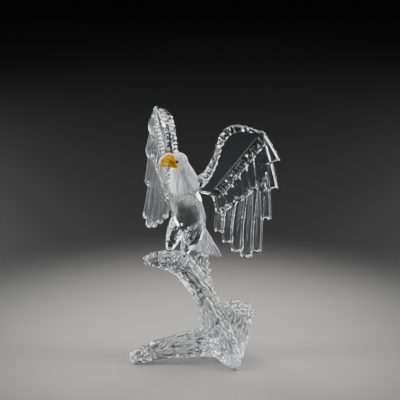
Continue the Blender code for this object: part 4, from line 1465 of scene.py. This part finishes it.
        bmesh.ops.translate(bm, verts=new, vec=(0.0, 0.0, depth))

    def add_band(self, bm: bmesh.types.BMesh) -> None:
        """Adds the ribbed band that runs from the shoulder to the wrist.

        Args:
            bm: The mesh to add to.
        """
        start, end = Vector(self.band_start), Vector(self.band_end)
        way = (end - start).normalized()
        across = Vector((way.y, -way.x)) * self.band_half_width
        for sign in (-1.0, 1.0):
            steps = [start.lerp(end, share / 4) + across * sign for share in range(5)]
            self.add_rail(bm, steps, [self.band_rail_radius] * 5, self.rail_depth_share)
        for rung in range(self.band_rungs):
            stray = self.band_rung_stray * noise.noise(Vector((rung * 0.7, 5.0, 0.0)))
            spot = start.lerp(end, (rung + 0.5 + stray) / self.band_rungs)
            swell = self.band_rung_middle
            swell += self.band_rung_swell * noise.noise(Vector((rung * 0.9, 0.0, 2.0)))
            shares = (self.band_rung_end, swell, self.band_rung_end)
            radii = [self.band_rail_radius * share for share in shares]
            self.add_rail(bm, [spot - across, spot, spot + across], radii, 2.0)

    def build(self, body: GroundBody) -> bpy.types.Object:
        """Builds and dresses the wing.

        Args:
            body: The body that it is glued to.

        Returns:
            The piece.
        """
        bm = bmesh.new()
        self.add_arm(bm)
        self.add_plate(bm, self.shield, self.web_thickness)
        self.add_plate(bm, self.covert_web, self.covert_web_thickness)
        self.add_band(bm)
        radii = [self.scallop_radius] * len(self.scallop)
        self.add_rail(bm, self.scallop, radii, self.rail_depth_share)
        rows = (
            (self.coverts, Tip.ROUND, 0.5, 4.0),
            (self.secondaries, Tip.ROUND, 0.0, 6.0),
            (self.primaries, Tip.SQUARE, 0.05, 5.0),
        )
        for feathers, tip, depth, lean_deg in rows:
            for feather in feathers:
                self.add_feather(bm, feather, tip, depth, lean_deg)
        obj = melted(rough_object(bm, "wing"), self.voxel, 2)
        edited(reshaped(obj, self.in_place), face_out)
        combined(obj, [body.torso()], Operation.CUT)
        word = self.side.name.lower()
        return finished_piece(obj, f"crystal_wing_{word}", POLISHED, f"wing_{word}")


# The tail and the pads


@dataclass
class FanTail:
    """The satin tail, a fan of ribs that arches across."""

    root: Vector = Vector((5.4, 8.2, 91.5))
    tip: Vector = Vector((11.2, 13.2, 67.4))
    feathers: int = 7
    fan_deg: float = 28.0
    apex_share: float = 0.16
    arch: float = 1.8
    thickness: float = 1.7
    web_share: float = 0.45
    back_rib_share: float = 0.55
    front_rib_share: float = 0.35
    steps_per_feather: int = 12

    def ridge(self, across: float) -> float:
        """How high the ribs stand here, from 0 in a groove to 1 on a quill."""
        phase = (across + 1.0) / 2.0 * self.feathers
        return 1.0 - (2.0 * (phase % 1.0) - 1.0) ** 2

    def in_place(self, flat: Vector) -> Vector:
        """Spreads and arches the flat fan.

        Args:
            flat: Its position across, its depth and its position along.

        Returns:
            The point in set-out millimetres.
        """
        across, depth, along = flat
        way = self.tip - self.root
        back = way.cross(BIRD_LEFT).normalized()
        back = back if back.dot(FORWARD) < 0 else -back
        turn = Matrix.Rotation(math.radians(self.fan_deg) * across, 3, back)
        run = turn @ way * (self.apex_share + along)
        return self.root - way * self.apex_share + run + back * (depth - self.arch * across**2 * along)

    def build(self, body: GroundBody) -> bpy.types.Object:
        """Builds and dresses the tail.

        Args:
            body: The body that it is let into.

        Returns:
            The piece.
        """
        steps = self.feathers * self.steps_per_feather
        across = [-1.0 + 2.0 * step / steps for step in range(steps + 1)]
        half = self.thickness / 2
        back = [(x, (self.web_share + self.back_rib_share * self.ridge(x)) * half) for x in across]
        front = [
            (x, -(self.web_share + self.front_rib_share * self.ridge(x)) * half) for x in reversed(across)
        ]
        stations = [(share / 12, 1.0 + 0.1 * share / 12) for share in range(12)]
        frames = [
            Matrix.Translation((0.0, 0.0, along)) @ Matrix.Diagonal((1.0, thick, 1.0, 1.0))
            for along, thick in (*stations, (0.95, 1.0), (1.0, 0.6))
        ]
        bm = bmesh.new()
        rings = add_sweep(bm, front + back, frames)
        for share, ring in ((0.05, rings[-2]), (0.09, rings[-1])):
            for vert in ring:
                vert.co.z -= share * (1.0 - self.ridge(vert.co.x))
        for vert in bm.verts:
            vert.co = self.in_place(vert.co)
        obj = combined(rough_object(bm, "tail"), [body.torso()], Operation.CUT)
        return finished_piece(obj, "fan_tail", ETCHED_TAIL, "tail")


@dataclass
class SoftPad:
    """A soft clear pad that keeps the crystal off the shelf."""

    name: str
    x: float
    y: float
    radius: float = 2.4
    height: float = 1.2
    profile: Stations = ((0.0, 0.86), (0.12, 0.93), (0.3, 0.98), (0.5, 1.0), (1.0, 1.0))

    def build(self) -> bpy.types.Object:
        """Builds and dresses the pad.

        Returns:
            The piece.
        """
        foot = Vector((self.x, self.y, 0.0))
        frames = []
        for share, wide in self.profile:
            width = wide * self.radius
            frames.append(section_frame(foot + UP * share * self.height, UP, FORWARD, width, width))
        bm = bmesh.new()
        add_sweep(bm, circle_section(40), frames)
        return finished_piece(
            rough_object(bm, "pad"), f"soft_{self.name}", SILICONE, self.name
        )


# The studio


@dataclass(frozen=True)
class Softbox:
    """A soft square lamp."""

    name: str
    place: tuple[float, float, float]
    width: float
    height: float
    watts: float

    def build(self, target: Vector) -> bpy.types.Object:
        """Hangs the lamp.

        Args:
            target: What it points at.

        Returns:
            The lamp.
        """
        data = bpy.data.lights.new(self.name, "AREA")
        data.shape = "RECTANGLE"
        data.size = self.width
        data.size_y = self.height
        data.energy = self.watts
        lamp = bpy.data.objects.new(self.name, data)
        lamp.location = self.place
        lamp.visible_camera = False
        lamp.rotation_euler = (Vector(self.place) - target).to_track_quat("Z", "Y").to_euler()
        bpy.context.scene.collection.objects.link(lamp)
        return lamp


@dataclass
class Studio:
    """The floor, the soft lamps, the dim surround and the camera."""

    view_centre: tuple[float, float, float] = (-0.00208, -0.01319, 0.1106)
    view_elevation_deg: float = 18.0
    view_distance: float = 1.05
    view_width: float = 0.26
    surround: str = "#303236"
    surround_strength: float = 0.15
    floor_radius: float = 3.0
    lamps: tuple[Softbox, ...] = (
        Softbox("left_strip", (-0.7, -0.1, 0.3), 0.2, 0.9, 15.0),
        Softbox("right_strip", (0.7, -0.05, 0.35), 0.2, 0.9, 15.0),
        Softbox("top_strip", (0.0, 0.25, 0.8), 0.5, 0.22, 5.0),
        Softbox("front_strip", (-0.5, -1.1, 0.7), 0.4, 0.3, 5.0),
        Softbox("back_left_strip", (-0.5, 0.6, 0.25), 0.2, 0.6, 9.0),
        Softbox("back_right_strip", (0.55, 0.6, 0.25), 0.2, 0.6, 9.0),
    )

    def build(self) -> None:
        """Sets up floor, lamps, surround and camera."""
        target = Vector(self.view_centre)
        bm = bmesh.new()
        bmesh.ops.create_circle(bm, cap_ends=True, radius=self.floor_radius, segments=96)
        mesh = bpy.data.meshes.new("floor")
        bm.to_mesh(mesh)
        bm.free()
        mesh.materials.append(FLOOR.material())
        floor = bpy.data.objects.new("floor", mesh)
        bpy.context.scene.collection.objects.link(floor)
        for lamp in self.lamps:
            lamp.build(target)
        world = bpy.data.worlds.new("surround")
        world.use_nodes = True
        background = world.node_tree.nodes["Background"]
        background.inputs["Color"].default_value = hex_colour(self.surround)
        background.inputs["Strength"].default_value = self.surround_strength
        bpy.context.scene.world = world
        elevation = math.radians(self.view_elevation_deg)
        data = bpy.data.cameras.new("camera")
        data.sensor_width = 36.0
        data.lens = data.sensor_width * self.view_distance / self.view_width
        camera = bpy.data.objects.new("camera", data)
        way = Vector((0.0, -math.cos(elevation), math.sin(elevation)))
        camera.location = target + way * self.view_distance
        camera.rotation_euler = way.to_track_quat("Z", "Y").to_euler()
        bpy.context.scene.collection.objects.link(camera)
        bpy.context.scene.camera = camera


def main() -> None:
    """Builds every piece of the figure and its studio."""
    logging.basicConfig(level=logging.INFO, format="%(name)s: %(message)s")
    Studio().build()
    body = GroundBody()
    head = EagleHead()
    makers: list[Callable[[], bpy.types.Object]] = [
        Driftwood().build,
        body.build,
        lambda: head.build_head(body),
        head.build_beak,
        *(lambda side=side: head.build_eye(side) for side in Side),
        *(lambda side=side: CrystalWing(side).build(body) for side in Side),
        lambda: FanTail().build(body),
        SoftPad("pad_left", -37.0, -10.6).build,
        SoftPad("pad_front", 28.2, -20.8).build,
        SoftPad("pad_back", 12.0, 22.2).build,
    ]
    for make in makers:
        piece = make()
        LOG.info("%s: %d faces", piece.name, len(piece.data.polygons))


if __name__ == "__main__":
    main()
